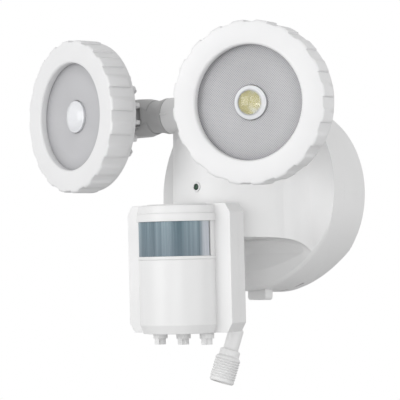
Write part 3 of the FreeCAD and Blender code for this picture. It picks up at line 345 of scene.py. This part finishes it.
def make_screw_tree():
    """Sets one screw at every point of a mesh, each turned by its own random angle."""
    tree, given, result = tree_with("screws_at_points", [
        ("Screw", "Object"), ("Finish", "Material"), ("Slot Turn", "Float"), ("Seed", "Int")])
    screw = add(tree, "GeometryNodeObjectInfo")
    turn = add(tree, "FunctionNodeRandomValue", data_type="FLOAT")
    rotation = add(tree, "FunctionNodeAxisAngleToRotation")
    copies = add(tree, "GeometryNodeInstanceOnPoints")
    real = add(tree, "GeometryNodeRealizeInstances")
    paint = add(tree, "GeometryNodeSetMaterial")
    rotation.inputs["Axis"].default_value = (0, 1, 0)
    join = tree.links.new
    join(given.outputs["Screw"], screw.inputs["Object"])
    join(given.outputs["Slot Turn"], turn.inputs[3])
    join(given.outputs["Seed"], turn.inputs["Seed"])
    join(turn.outputs[1], rotation.inputs["Angle"])
    join(given.outputs["Geometry"], copies.inputs["Points"])
    join(screw.outputs["Geometry"], copies.inputs["Instance"])
    join(rotation.outputs[0], copies.inputs["Rotation"])
    join(copies.outputs[0], real.inputs[0])
    join(real.outputs[0], paint.inputs["Geometry"])
    join(given.outputs["Finish"], paint.inputs["Material"])
    join(paint.outputs[0], result.inputs[0])
    return tree


# Parts of shader trees

def math_node(tree, operation, first, second=None, third=None):
    """A Math node with its inputs linked or set, and its output."""
    node = add(tree, "ShaderNodeMath", operation=operation)
    for socket, value in zip(node.inputs, (first, second, third)):
        if value is None:
            continue
        if isinstance(value, (int, float)):
            socket.default_value = value
        else:
            tree.links.new(value, socket)
    return node.outputs[0]


def noise(tree, vector, scale, detail=2.0):
    """A noise texture's factor at a scale that is linked or set."""
    node = add(tree, "ShaderNodeTexNoise")
    node.inputs["Detail"].default_value = detail
    tree.links.new(vector, node.inputs["Vector"])
    if isinstance(scale, (int, float)):
        node.inputs["Scale"].default_value = scale
    else:
        tree.links.new(scale, node.inputs["Scale"])
    return node.outputs[0]


def streaks(tree, along, scale, detail):
    """Noise that changes along one value only."""
    node = add(tree, "ShaderNodeTexNoise", noise_dimensions="1D")
    node.inputs["Scale"].default_value = scale
    node.inputs["Detail"].default_value = detail
    tree.links.new(along, node.inputs["W"])
    return node.outputs[0]


def spread(tree, value, low, high, to_low=0.0, to_high=1.0, kind="LINEAR"):
    """A value carried from one range to another and held at its ends."""
    node = add(tree, "ShaderNodeMapRange", interpolation_type=kind)
    node.inputs["From Min"].default_value = low
    node.inputs["From Max"].default_value = high
    node.inputs["To Min"].default_value = to_low
    node.inputs["To Max"].default_value = to_high
    tree.links.new(value, node.inputs["Value"])
    return node.outputs[0]


def mixed(tree, share, first, second):
    """A colour between two, each linked or set, by a share."""
    node = add(tree, "ShaderNodeMix", data_type="RGBA")
    tree.links.new(share, node.inputs[0])
    for socket, value in ((node.inputs[6], first), (node.inputs[7], second)):
        if isinstance(value, tuple):
            socket.default_value = value + (1,)
        else:
            tree.links.new(value, socket)
    return node.outputs[2]


def split(tree, vector):
    """The X, Y and Z of a vector."""
    node = add(tree, "ShaderNodeSeparateXYZ")
    tree.links.new(vector, node.inputs[0])
    return node.outputs


def object_place(tree):
    """The place on the piece, in metres."""
    return add(tree, "ShaderNodeTexCoord").outputs["Object"]


def facing(tree):
    """The way the surface faces."""
    return add(tree, "ShaderNodeNewGeometry").outputs["Normal"]


def scaled(colour, factor):
    """A colour made lighter or darker."""
    return tuple(min(1.0, part * factor) for part in colour)


# Shader groups

def shader_group(name, inputs, outputs):
    """An empty shader group with its named inputs, given as (name, value), and outputs."""
    group = bpy.data.node_groups.new(name, "ShaderNodeTree")
    for word, value in inputs:
        socket = group.interface.new_socket(word, in_out="INPUT", socket_type="NodeSocketFloat")
        socket.default_value = value
    for word, kind in outputs:
        group.interface.new_socket(word, in_out="OUTPUT", socket_type="NodeSocket" + kind)
    return group, add(group, "NodeGroupInput").outputs, add(group, "NodeGroupOutput").inputs


def make_grain_group():
    """The fine spark grain of a moulded surface, with broad uneven gloss."""
    group, given, result = shader_group(
        "moulding_grain", [("Grain per metre", 1600.0), ("Flow per metre", 22.0)],
        [("Height", "Float"), ("Flow", "Float")])
    place = object_place(group)
    group.links.new(noise(group, place, given["Grain per metre"], 3.0), result["Height"])
    group.links.new(noise(group, place, given["Flow per metre"]), result["Flow"])
    return group


def make_edge_group():
    """A rounded normal at sharp edges, and a mask that is 1 along them."""
    group, given, result = shader_group(
        "edge_rounding_and_highlight", [("Radius", 0.0006)], [("Edge", "Float"), ("Normal", "Vector")])
    rounded = add(group, "ShaderNodeBevel", samples=4)
    group.links.new(given["Radius"], rounded.inputs["Radius"])
    agreement = add(group, "ShaderNodeVectorMath", operation="DOT_PRODUCT")
    group.links.new(rounded.outputs[0], agreement.inputs[0])
    group.links.new(facing(group), agreement.inputs[1])
    flat_agreement = 0.995
    edge_agreement = 0.85
    edge = spread(group, agreement.outputs["Value"], flat_agreement, edge_agreement)
    group.links.new(edge, result["Edge"])
    group.links.new(rounded.outputs[0], result["Normal"])
    return group


def make_dust_group():
    """A mask of light dust that settles on what faces up."""
    group, given, result = shader_group(
        "settled_dust", [("Amount", 0.1), ("Patches per metre", 60.0)], [("Dust", "Float")])
    patches = noise(group, object_place(group), given["Patches per metre"], 4.0)
    wall_share = 0.25
    rise = split(group, facing(group))["Z"]
    upward = math_node(group, "MULTIPLY_ADD", rise, 1 - wall_share, wall_share)
    upward = math_node(group, "MAXIMUM", upward, 0.0)
    spotted = math_node(group, "MULTIPLY", upward, patches)
    group.links.new(math_node(group, "MULTIPLY", spotted, given["Amount"]), result["Dust"])
    return group


def make_crevice_group():
    """A mask of painted shade in grooves and under overhangs, from ambient occlusion."""
    group, given, result = shader_group(
        "crevice_shade", [("Reach", 0.006), ("Amount", 0.35)], [("Shade", "Float")])
    open_air = add(group, "ShaderNodeAmbientOcclusion", samples=6)
    group.links.new(given["Reach"], open_air.inputs["Distance"])
    closed = math_node(group, "SUBTRACT", 1.0, open_air.outputs["AO"])
    group.links.new(math_node(group, "MULTIPLY", closed, given["Amount"]), result["Shade"])
    return group


def make_hatch_group():
    """Fine ridges that cross at right angles, turned with the head they are on."""
    group, given, result = shader_group(
        "crossed_ridges", [("Turn", 0.0), ("Ridges per metre", 880.0)], [("Height", "Float")])
    turned_place = add(group, "ShaderNodeVectorRotate", rotation_type="Z_AXIS")
    group.links.new(object_place(group), turned_place.inputs["Vector"])
    group.links.new(given["Turn"], turned_place.inputs["Angle"])
    parts = split(group, turned_place.outputs[0])
    # X and Z added are the square root of two times the way along the diagonal
    full_turn = math.sqrt(2) * math.pi
    waves = []
    for operation in ("ADD", "SUBTRACT"):
        along = math_node(group, operation, parts["X"], parts["Z"])
        cycles = math_node(group, "MULTIPLY", along, given["Ridges per metre"])
        waves.append(math_node(group, "SINE", math_node(group, "MULTIPLY", cycles, full_turn)))
    group.links.new(math_node(group, "MAXIMUM", waves[0], waves[1]), result["Height"])
    return group


grain_group = make_grain_group()
edge_group = make_edge_group()
dust_group = make_dust_group()
crevice_group = make_crevice_group()
hatch_group = make_hatch_group()


# Materials

def use(tree, group, **values):
    """Places a group in a material with its own values, and gives its outputs."""
    node = add(tree, "ShaderNodeGroup", node_tree=group)
    for word, value in values.items():
        node.inputs[word.replace("_", " ")].default_value = value
    return node.outputs


def bare_material(name):
    """A material with its tree and its one Principled shader."""
    material = bpy.data.materials.new(name)
    material.use_nodes = True
    tree = material.node_tree
    return material, tree, tree.nodes["Principled BSDF"]


def coloured(tree, shader, colour):
    """Feeds a colour to the shader."""
    tree.links.new(colour, shader.inputs["Base Color"])


def roughened(tree, shader, rough):
    """Feeds a roughness to the shader."""
    tree.links.new(rough, shader.inputs["Roughness"])


def bumped(tree, shader, height, relief, normal=None):
    """Feeds a height to the shader, over a rounded normal where there is one."""
    bump = add(tree, "ShaderNodeBump")
    bump.inputs["Strength"].default_value = relief[0]
    bump.inputs["Distance"].default_value = relief[1]
    tree.links.new(height, bump.inputs["Height"])
    if normal is not None:
        tree.links.new(normal, bump.inputs["Normal"])
    tree.links.new(bump.outputs[0], shader.inputs["Normal"])


def moulded(name, colour, gloss=0.42, edge=0.0006, dust=0.12, edge_highlight=None, coat=0.0, shade=0.4):
    """Moulded plastic: fine grain, uneven gloss, softened edges with a painted highlight, a
    little dust, painted shade in crevices.
    """
    material, tree, shader = bare_material(name)
    grains = use(tree, grain_group)
    edges = use(tree, edge_group, Radius=edge)
    dusty = use(tree, dust_group, Amount=dust)["Dust"]
    painted_crevice_shade = use(tree, crevice_group, Amount=shade)["Shade"]
    dust_colour = (0.42, 0.40, 0.37)
    dust_cover = 0.2
    edge_highlight_share = 0.6
    uneven_tone = 0.955
    edge_highlight_tone = 1.06
    painted_shade_tone = 0.5
    gloss_change = 0.16
    dust_dullness = 0.5
    dull = tuple(part * (1 - dust_cover) + grey * dust_cover
                 for part, grey in zip(colour, dust_colour))
    # A darker copy of the colour: the painted shade for grooves and overhangs
    painted_shade_colour = tuple(part * part * painted_shade_tone for part in colour)
    body = mixed(tree, grains["Flow"], colour, scaled(colour, uneven_tone))
    # Paler edges are a painted highlight along the sharp edges
    edge_highlight_mask = math_node(tree, "MULTIPLY", edges["Edge"], edge_highlight_share)
    edge_highlighted = mixed(tree, edge_highlight_mask, body, edge_highlight or scaled(colour, edge_highlight_tone))
    dusted = mixed(tree, dusty, edge_highlighted, dull)
    coloured(tree, shader, mixed(tree, painted_crevice_shade, dusted, painted_shade_colour))
    rough = math_node(tree, "MULTIPLY_ADD", grains["Flow"], gloss_change,
                      gloss - gloss_change / 2)
    roughened(tree, shader, math_node(tree, "MULTIPLY_ADD", dusty, dust_dullness, rough))
    shader.inputs["Coat Weight"].default_value = coat
    shader.inputs["Coat Roughness"].default_value = 0.15
    bumped(tree, shader, grains["Height"], plastic_relief, edges["Normal"])
    return material


def metal(name, colour, gloss):
    """Plated metal with fine unevenness in its gloss."""
    material, tree, shader = bare_material(name)
    grains = use(tree, grain_group, Grain_per_metre=900.0, Flow_per_metre=140.0)
    edges = use(tree, edge_group, Radius=0.0003)
    coloured(tree, shader, mixed(tree, grains["Flow"], colour, scaled(colour, 0.8)))
    shader.inputs["Metallic"].default_value = 1.0
    roughened(tree, shader, math_node(tree, "MULTIPLY_ADD", grains["Flow"], 0.25, gloss - 0.1))
    bumped(tree, shader, grains["Height"], metal_relief, edges["Normal"])
    return material


def dish_finish(name, turn=0.0, painted_light_tone=0.8):
    """The lamp dish: silvery, dull, with fine crossed ridges, lighter or darker by a painted
    light tone, with painted shade in its corners.
    """
    material, tree, shader = bare_material(name)
    ridges = use(tree, hatch_group, Turn=-math.radians(turn))["Height"]
    grains = use(tree, grain_group, Grain_per_metre=700.0, Flow_per_metre=45.0)
    painted_crevice_shade = use(tree, crevice_group, Reach=0.010, Amount=0.9)["Shade"]
    pale = scaled((0.76, 0.76, 0.775), painted_light_tone)
    dull = scaled((0.66, 0.66, 0.675), painted_light_tone)
    groove = scaled((0.28, 0.28, 0.30), painted_light_tone)
    # Near-black painted shade for the dish's corners and hollows
    corner = (0.08, 0.08, 0.09)
    silver = mixed(tree, grains["Flow"], pale, dull)
    in_groove = math_node(tree, "MULTIPLY_ADD", ridges, -0.4, 0.45)
    ridged = mixed(tree, in_groove, silver, groove)
    coloured(tree, shader, mixed(tree, painted_crevice_shade, ridged, corner))
    shader.inputs["Metallic"].default_value = 0.45
    roughened(tree, shader, math_node(tree, "MULTIPLY_ADD", grains["Flow"], 0.15, 0.36))
    bumped(tree, shader, ridges, dish_relief)
    return material


def dome_finish(name, milk=0.0):
    """The dome over an LED: clear or milky in its middle, and whitish towards its rim."""
    material, tree, shader = bare_material(name)
    grains = use(tree, grain_group, Grain_per_metre=300.0, Flow_per_metre=260.0)
    round_map = add(tree, "ShaderNodeUVMap", uv_map="round")
    from_middle = split(tree, round_map.outputs[0])["X"]
    milk_starts = dome_clear_share - 0.08
    milk_ends = dome_clear_share + 0.12
    rim_clearness = 0.12
    clear = spread(tree, from_middle, milk_starts, milk_ends, 1.0 - milk, rim_clearness,
                   "SMOOTHSTEP")
    tree.links.new(clear, shader.inputs["Transmission Weight"])
    coloured(tree, shader, mixed(tree, grains["Flow"], (0.97, 0.98, 0.99), (0.88, 0.89, 0.93)))
    shader.inputs["IOR"].default_value = 1.43
    roughened(tree, shader, math_node(tree, "MULTIPLY_ADD", grains["Flow"], 0.06, 0.02))
    bumped(tree, shader, grains["Flow"], dome_relief)
    return material


def phosphor_finish():
    """The LED's phosphor: yellow, with whitish swirls."""
    material, tree, shader = bare_material("phosphor")
    swirl = noise(tree, object_place(tree), 105.0, 1.0)
    whitish = spread(tree, swirl, 0.44, 0.68, kind="SMOOTHSTEP")
    grains = use(tree, grain_group, Grain_per_metre=500.0)
    bright_yellow = (0.78, 0.69, 0.24)
    dull_yellow = (0.72, 0.64, 0.22)
    swirl_colour = (0.80, 0.78, 0.60)
    yellow = mixed(tree, grains["Height"], bright_yellow, dull_yellow)
    coloured(tree, shader, mixed(tree, whitish, yellow, swirl_colour))
    shader.inputs["Roughness"].default_value = 0.5
    bumped(tree, shader, grains["Height"], phosphor_relief)
    return material


def window_finish():
    """The sensor's window: dark teal streaks, darker low down, with a pale border at each end."""
    material, tree, shader = bare_material("sensor_window")
    sheet = split(tree, add(tree, "ShaderNodeUVMap", uv_map="sheet").outputs[0])
    along = sheet["X"]
    broad = spread(tree, streaks(tree, along, 8.0, 5.0), 0.38, 0.64)
    fine = streaks(tree, along, 46.0, 2.0)
    dark_teal = (0.035, 0.105, 0.135)
    pale_teal = (0.27, 0.37, 0.42)
    streak_colour = (0.20, 0.23, 0.28)
    low_colour = (0.085, 0.115, 0.15)
    border_colour = (0.50, 0.53, 0.58)
    border_starts = 0.385
    border_ends = 0.44
    teal = mixed(tree, broad, dark_teal, pale_teal)
    streaked = mixed(tree, math_node(tree, "MULTIPLY", fine, 0.4), teal, streak_colour)
    low_down = spread(tree, sheet["Y"], 0.0, 0.9, 0.42, 0.0)
    shaded = mixed(tree, low_down, streaked, low_colour)
    from_middle = math_node(tree, "ABSOLUTE", math_node(tree, "SUBTRACT", along, 0.5))
    border = spread(tree, from_middle, border_starts, border_ends)
    coloured(tree, shader, mixed(tree, border, shaded, border_colour))
    shader.inputs["Roughness"].default_value = 0.38
    shader.inputs["Coat Weight"].default_value = 0.25
    shader.inputs["Coat Roughness"].default_value = 0.2
    bumped(tree, shader, fine, window_relief)
    return material


def board_finish(name, mask, copper):
    """A circuit board: solder mask with faint tracks under it."""
    material, tree, shader = bare_material(name)
    cells = add(tree, "ShaderNodeTexVoronoi", feature="DISTANCE_TO_EDGE", distance="EUCLIDEAN")
    cells.inputs["Scale"].default_value = 170.0
    tree.links.new(object_place(tree), cells.inputs["Vector"])
    track_share = 0.08
    track_shows = 0.55
    track = math_node(tree, "LESS_THAN", cells.outputs["Distance"], track_share)
    showing = math_node(tree, "MULTIPLY", track, track_shows)
    coloured(tree, shader, mixed(tree, showing, mask, copper))
    shader.inputs["Roughness"].default_value = 0.35
    bumped(tree, shader, track, board_relief)
    return material


finishes = {
    "white_plastic": moulded("white_plastic", (0.90, 0.90, 0.90), edge=0.0005),
    # The arm's grey is painted shade from the heads in front of it, and its stronger crevice
    # shade is painted shade too
    "arm_plastic": moulded("arm_plastic", (0.55, 0.55, 0.55), shade=0.6),
    "head_plastic": moulded("head_plastic", (0.86, 0.86, 0.865), gloss=0.38, edge=0.0005),
    "sensor_plastic": moulded("sensor_plastic", (0.86, 0.86, 0.86), gloss=0.36),
    "trim_plastic": moulded("trim_plastic", (0.88, 0.88, 0.88), edge=0.0004),
    "lead_plastic": moulded("lead_plastic", (0.92, 0.92, 0.92), gloss=0.45, edge=0.0003),
    # The lighter edge colours of the dark, green and seal finishes are painted highlights
    "dark_plastic": moulded("dark_plastic", (0.03, 0.03, 0.032), gloss=0.5, dust=0.3,
                            edge_highlight=(0.09, 0.09, 0.09)),
    "reflector": dish_finish("reflector"),
    "clear_lens": dome_finish("clear_lens"),
    "phosphor": phosphor_finish(),
    "led_board": board_finish("led_board", (0.82, 0.82, 0.80), (0.6, 0.45, 0.2)),
    "circuit_board": board_finish("circuit_board", (0.02, 0.16, 0.06), (0.05, 0.30, 0.12)),
    "sensor_window": window_finish(),
    "indicator_green": moulded("indicator_green", (0.006, 0.045, 0.018), gloss=0.3, dust=0.02,
                               edge_highlight=(0.02, 0.14, 0.06), edge=0.0002),
    "cell_wrap": moulded("cell_wrap", (0.05, 0.16, 0.42), gloss=0.25, coat=0.4),
    "steel": metal("steel", (0.62, 0.62, 0.61), 0.35),
    "brass": metal("brass", (0.75, 0.55, 0.24), 0.3),
    "seal": moulded("seal", (0.03, 0.03, 0.03), gloss=0.7, edge_highlight=(0.06, 0.06, 0.06)),
}


def dress(mesh, finish):
    """Gives a mesh one finish and no other."""
    mesh.materials.clear()
    mesh.materials.append(finish)


def finish_piece(name, mesh, finish, body, nodes):
    """Makes a finished mesh a piece that rides on a body and stands for CAD nodes."""
    piece = link(bpy.data.objects.new(name, mesh))
    dress(mesh, finish)
    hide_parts(*nodes)
    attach(piece, body)


# Camera and lead

def aim(piece, place, target):
    """Puts a camera or lamp at a place and turns it towards another."""
    piece.location = place
    piece.rotation_mode = "QUATERNION"
    look = Vector(target) - Vector(place)
    piece.rotation_quaternion = look.to_track_quat("-Z", "Y")


def make_camera():
    """The camera at the photograph's viewing angle."""
    data = bpy.data.cameras.new("camera")
    data.sensor_width = film_width
    data.lens = camera_focal_pixels * film_width / photo_width
    camera = link(bpy.data.objects.new("camera", data))
    aim(camera, camera_place, camera_target)
    bpy.context.scene.camera = camera


def make_lead():
    """The free stretch of the lead, from its bush in the housing to the boot of its plug."""
    data = bpy.data.curves.new("lead", "CURVE")
    data.dimensions = "3D"
    data.bevel_depth = lead_diameter / 2
    data.bevel_resolution = 6
    data.resolution_u = 12
    data.use_fill_caps = True
    spline = data.splines.new("NURBS")
    spline.points.add(len(lead_route) - 1)
    for point, place in zip(spline.points, lead_route):
        point.co = [c * mm for c in place] + [1]
    spline.order_u = 3
    spline.use_endpoint_u = True
    data.materials.append(finishes["lead_plastic"])
    lead = link(bpy.data.objects.new("lead_cable", data))
    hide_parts("solar_lead")
    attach(lead, "housing")


make_camera()
make_lead()


def finish_nodes():
    """Gives every CAD node the finish of its slot, and each head's dish its own finish with a
    painted light tone.
    """
    for part in frame["record"]["subparts"]:
        dress(frame["nodes"][part["node"]].data, finishes[part["material_slot"]])
    for word, side in sides.items():
        dish = dish_finish(word + "_dish", side * head_turn[word], dish_painted_light_tone[word])
        dress(frame["nodes"][word + "_reflector"].data, dish)


finish_nodes()


# Lamp heads

def ring_section(high):
    """The ring's cross-section where a pad is this high, as (radius, depth)."""
    mouth = aperture_radius + aperture_bevel
    section = [
        (ring_bore, ring_back),
        (ring_radius - ring_back_round, ring_back),
        (ring_radius - 0.3 * ring_back_round, ring_back - 0.3 * ring_back_round),
        (ring_radius, ring_back - ring_back_round),
    ]
    section += [(ring_radius + high * share, pad_end + back) for share, back in pad_end_form]
    section += [(ring_radius - drop + high * share, ring_front + back)
                for drop, share, back in front_form]
    section += [(mouth + out, ring_front + back) for out, back in bevel_outer_form]
    section += [(aperture_radius + out, ring_front + aperture_bevel + back)
                for out, back in bevel_inner_form]
    section += [(aperture_radius, ring_front + ring_lip), (ring_bore, ring_front + ring_lip)]
    return section


def ring_segment():
    """One grip pad's share of the lamp ring."""
    step = 2 * math.pi / pad_count
    sections = [ring_section(pad_height * rise) for share, rise in pad_form]
    places = []
    for (share, rise), section in zip(pad_form, sections):
        turn = share * step
        for radius, depth in section:
            places.append((radius * math.cos(turn), depth, radius * math.sin(turn)))
    size = len(sections[0])
    faces = []
    for k in range(len(pad_form) - 1):
        here = k * size
        there = here + size
        for i in range(size):
            after = (i + 1) % size
            faces.append((here + i, here + after, there + after, there + i))
    return raw_mesh("ring_segment", places, faces)


def make_ring(word, round_tree):
    """A lamp's grip ring, its segments joined."""
    ring = grown("ring", ring_segment(), round_tree, {
        "Count": pad_count, "Step": -2 * math.pi / pad_count, "Start": 0.0,
        "Axis": (0, 1, 0), "Weld": segment_weld, "Finish": finishes["head_plastic"]})
    ring = cleaned(ring)
    ring.transform(head_place(word))
    finish_piece(word + "_grip_ring", ring, finishes["head_plastic"], word + "_head",
                 [word + "_bezel_ring"])


def make_dome(word):
    """An LED's low dome with a soft edge and a pocket for the chip, mapped by radius."""
    reach = dome_radius - dome_edge
    ball = (reach ** 2 + dome_crown ** 2) / (2 * dome_crown)
    middle = dome_rim - dome_crown + ball
    start = math.degrees(math.acos(reach / ball))
    outline = [(dome_bore, dome_base), (dome_radius, dome_base)]
    outline += arc((reach, dome_rim + dome_edge), dome_edge, 0, -70, 5)
    outline += arc((0, middle), ball, -start, -90, 16)
    outline += [(0, dome_pocket), (dome_bore, dome_pocket)]
    mesh = cleaned(raw_mesh(word + "_dome", *turned(outline, dome_steps)))
    layer = mesh.uv_layers.new(name="round")
    for loop in mesh.loops:
        spot = mesh.vertices[loop.vertex_index].co / mm
        turn = math.atan2(spot.z, spot.x)
        layer.data[loop.index].uv = (math.hypot(spot.x, spot.z) / dome_radius,
                                     turn / (2 * math.pi) + 0.5)
    mesh.transform(head_place(word))
    finish_piece(word + "_led_dome", mesh, dome_finish(word + "_lens", dome_milk[word]),
                 word + "_head", [word + "_led_lens"])


# Motion sensor

def window_strip():
    """One upright strip of the window's lens, bulging outwards."""
    step = math.radians(2 * window_half_angle / window_strips)
    outline = []
    for k in range(strip_steps + 1):
        share = k / strip_steps
        outline.append((share, window_radius - strip_bulge * (2 * share - 1) ** 2))
    for k in range(strip_steps, -1, -1):
        outline.append((k / strip_steps, window_radius - window_thickness))
    places = []
    for height in (window_low, window_high):
        for share, radius in outline:
            turn = (share - 0.5) * step
            places.append((radius * math.sin(turn), -radius * math.cos(turn), height))
    size = len(outline)
    faces = []
    for i in range(size):
        after = (i + 1) % size
        if i not in (strip_steps, size - 1):
            faces.append((i, after, size + after, size + i))
    faces.append(tuple(range(size)))
    faces.append(tuple(range(2 * size - 1, size - 1, -1)))
    return raw_mesh("window_strip", places, faces)


def make_window(round_tree):
    """The curved window of upright strips, with a map that runs round and up the sheet."""
    step = math.radians(2 * window_half_angle / window_strips)
    sheet = grown("window", window_strip(), round_tree, {
        "Count": window_strips, "Step": step,
        "Start": -step * (window_strips - 1) / 2, "Axis": (0, 0, 1),
        "Weld": segment_weld, "Finish": finishes["sensor_window"]})
    sheet = cleaned(sheet, 50)
    layer = sheet.uv_layers.new(name="sheet")
    reach = math.radians(window_half_angle)
    for loop in sheet.loops:
        place = sheet.vertices[loop.vertex_index].co / mm
        turn = math.atan2(place.x, -place.y)
        layer.data[loop.index].uv = ((turn / reach + 1) / 2,
                                     (place.z - window_low) / (window_high - window_low))
    sheet.transform(sensor_place() @ Matrix.Translation(Vector((0, window_centre, 0)) * mm))
    finish_piece("sensor_lens_sheet", sheet, finishes["sensor_window"], "sensor",
                 ["sensor_window"])


# Screws

def recess_cutter(head_top):
    """The cross that is cut into a screw's head."""
    half = recess_width / 2
    reach = recess_length / 2
    cross = [(half, half), (reach, half), (reach, -half), (half, -half), (half, -reach),
             (-half, -reach), (-half, -half), (-reach, -half), (-reach, half), (-half, half),
             (-half, reach), (half, reach)]
    size = len(cross)
    places = [(x, head_top - recess_depth, z) for x, z in cross]
    places += [(x, head_top + cutter_overrun, z) for x, z in cross]
    faces = [tuple(range(size)), tuple(range(2 * size - 1, size - 1, -1))]
    faces += [(i, (i + 1) % size, size + (i + 1) % size, size + i) for i in range(size)]
    return link(bpy.data.objects.new("cross", cleaned(raw_mesh("cross", places, faces))))


def screw_mesh(name, head_top, shank_end):
    """A round-headed screw along Y with a crossed recess, its head towards +Y."""
    under = head_top - screw_head_height
    round_centre = (screw_head_radius - screw_head_round, head_top - screw_head_round)
    outline = [
        (0, shank_end),
        (screw_point_radius, shank_end),
        (screw_shank_radius, shank_end + screw_point_length),
        (screw_shank_radius, under),
        (screw_head_radius, under),
        (screw_head_radius, round_centre[1]),
    ]
    outline += arc(round_centre, screw_head_round, 20, 90, 4)
    outline.append((0, head_top))
    body = cleaned(raw_mesh(name, *turned(outline, screw_steps)))
    screw = link(bpy.data.objects.new(name, body))
    cutter = recess_cutter(head_top)
    cut = screw.modifiers.new("recess", "BOOLEAN")
    cut.operation = "DIFFERENCE"
    cut.solver = "EXACT"
    cut.object = cutter
    made = evaluated(screw)
    bpy.data.objects.remove(cutter)
    bpy.data.objects.remove(screw)
    return cleaned(made)


def make_screws(tree, name, points, head_top, shank_end, place, body, node, seed):
    """A set of screws at points of a plane, each with its recess turned its own way."""
    screw = link(bpy.data.objects.new(name, screw_mesh(name, head_top, shank_end)))
    spots = raw_mesh(name + "_spots", [(x, 0, z) for x, z in points], [])
    made = grown(name + "_set", spots, tree, {
        "Screw": screw, "Finish": finishes["steel"], "Slot Turn": math.pi / 2, "Seed": seed})
    bpy.data.objects.remove(screw)
    made = cleaned(made)
    made.transform(place)
    finish_piece(name, made, finishes["steel"], body, [node])


def make_sensor_screws(tree):
    """The four screws in the sensor's back."""
    spots = [(x * sensor_screw_across, z) for z in (sensor_screw_low, sensor_screw_high)
             for x in (-1, 1)]
    make_screws(tree, "sensor_back_screws", spots, sensor_depth - sensor_screw_sink,
                sensor_screw_end, sensor_place(), "sensor", "sensor_screws", sensor_screw_seed)


def make_case_screws(tree):
    """The four screws in the case's back."""
    turn = math.radians(case_screw_angle)
    across = case_screw_circle * math.cos(turn)
    up = case_screw_circle * math.sin(turn)
    spots = [(x * across, z * up) for x in (-1, 1) for z in (-1, 1)]
    make_screws(tree, "case_back_screws", spots, case_screw_top, case_screw_end,
                Matrix.Identity(4), "housing", "case_screws", case_screw_seed)


round_tree = make_round_tree()
for word in sides:
    make_ring(word, round_tree)
    make_dome(word)
make_window(round_tree)
screw_tree = make_screw_tree()
make_sensor_screws(screw_tree)
make_case_screws(screw_tree)


# Studio

def make_floor():
    """A pale floor, far enough below the light to stay out of the main picture."""
    depth = cad_low[2] - floor_drop
    corners = [(x * floor_half, y * floor_half, depth)
               for x, y in ((-1, -1), (1, -1), (1, 1), (-1, 1))]
    mesh = bpy.data.meshes.new("floor")
    mesh.from_pydata(corners, [], [(0, 1, 2, 3)])
    floor = link(bpy.data.objects.new("floor", mesh))
    material, tree, shader = bare_material("pale_floor")
    shader.inputs["Base Color"].default_value = floor_colour
    shader.inputs["Roughness"].default_value = 0.9
    mesh.materials.append(material)


def make_world():
    """White all round where it is looked at, and elsewhere the light of a soft tent."""
    world = bpy.data.worlds.new("studio")
    bpy.context.scene.world = world
    world.use_nodes = True
    tree = world.node_tree
    back = tree.nodes["Background"]
    back.inputs["Color"].default_value = (1, 1, 1, 1)
    way = split(tree, add(tree, "ShaderNodeTexCoord").outputs["Generated"])
    front = math_node(tree, "MULTIPLY_ADD", way["Y"], -tent_front_gain, 1.0)
    up = math_node(tree, "MULTIPLY", way["Z"], way["Z"])
    level = math_node(tree, "MULTIPLY_ADD", up, -tent_pole_loss, 1.0)
    tent = math_node(tree, "MULTIPLY", front, level)
    tent = math_node(tree, "MULTIPLY", tent, tent_strength)
    ray = add(tree, "ShaderNodeLightPath").outputs
    seen = math_node(tree, "MAXIMUM", ray["Is Camera Ray"], ray["Is Glossy Ray"])
    seen = math_node(tree, "MAXIMUM", seen, ray["Is Transmission Ray"])
    more = math_node(tree, "MULTIPLY", seen, math_node(tree, "SUBTRACT", 1.0, tent))
    tree.links.new(math_node(tree, "ADD", tent, more), back.inputs["Strength"])


def make_lamp(name, place, size, power):
    """A square soft lamp that faces the light."""
    data = bpy.data.lights.new(name, "AREA")
    data.energy = power
    data.size = size
    aim(link(bpy.data.objects.new(name, data)), place, lamp_aim)


make_floor()
make_world()
for name, (place, size, power) in lamps.items():
    make_lamp(name, place, size, power)
bpy.context.scene.view_settings.view_transform = "Standard"
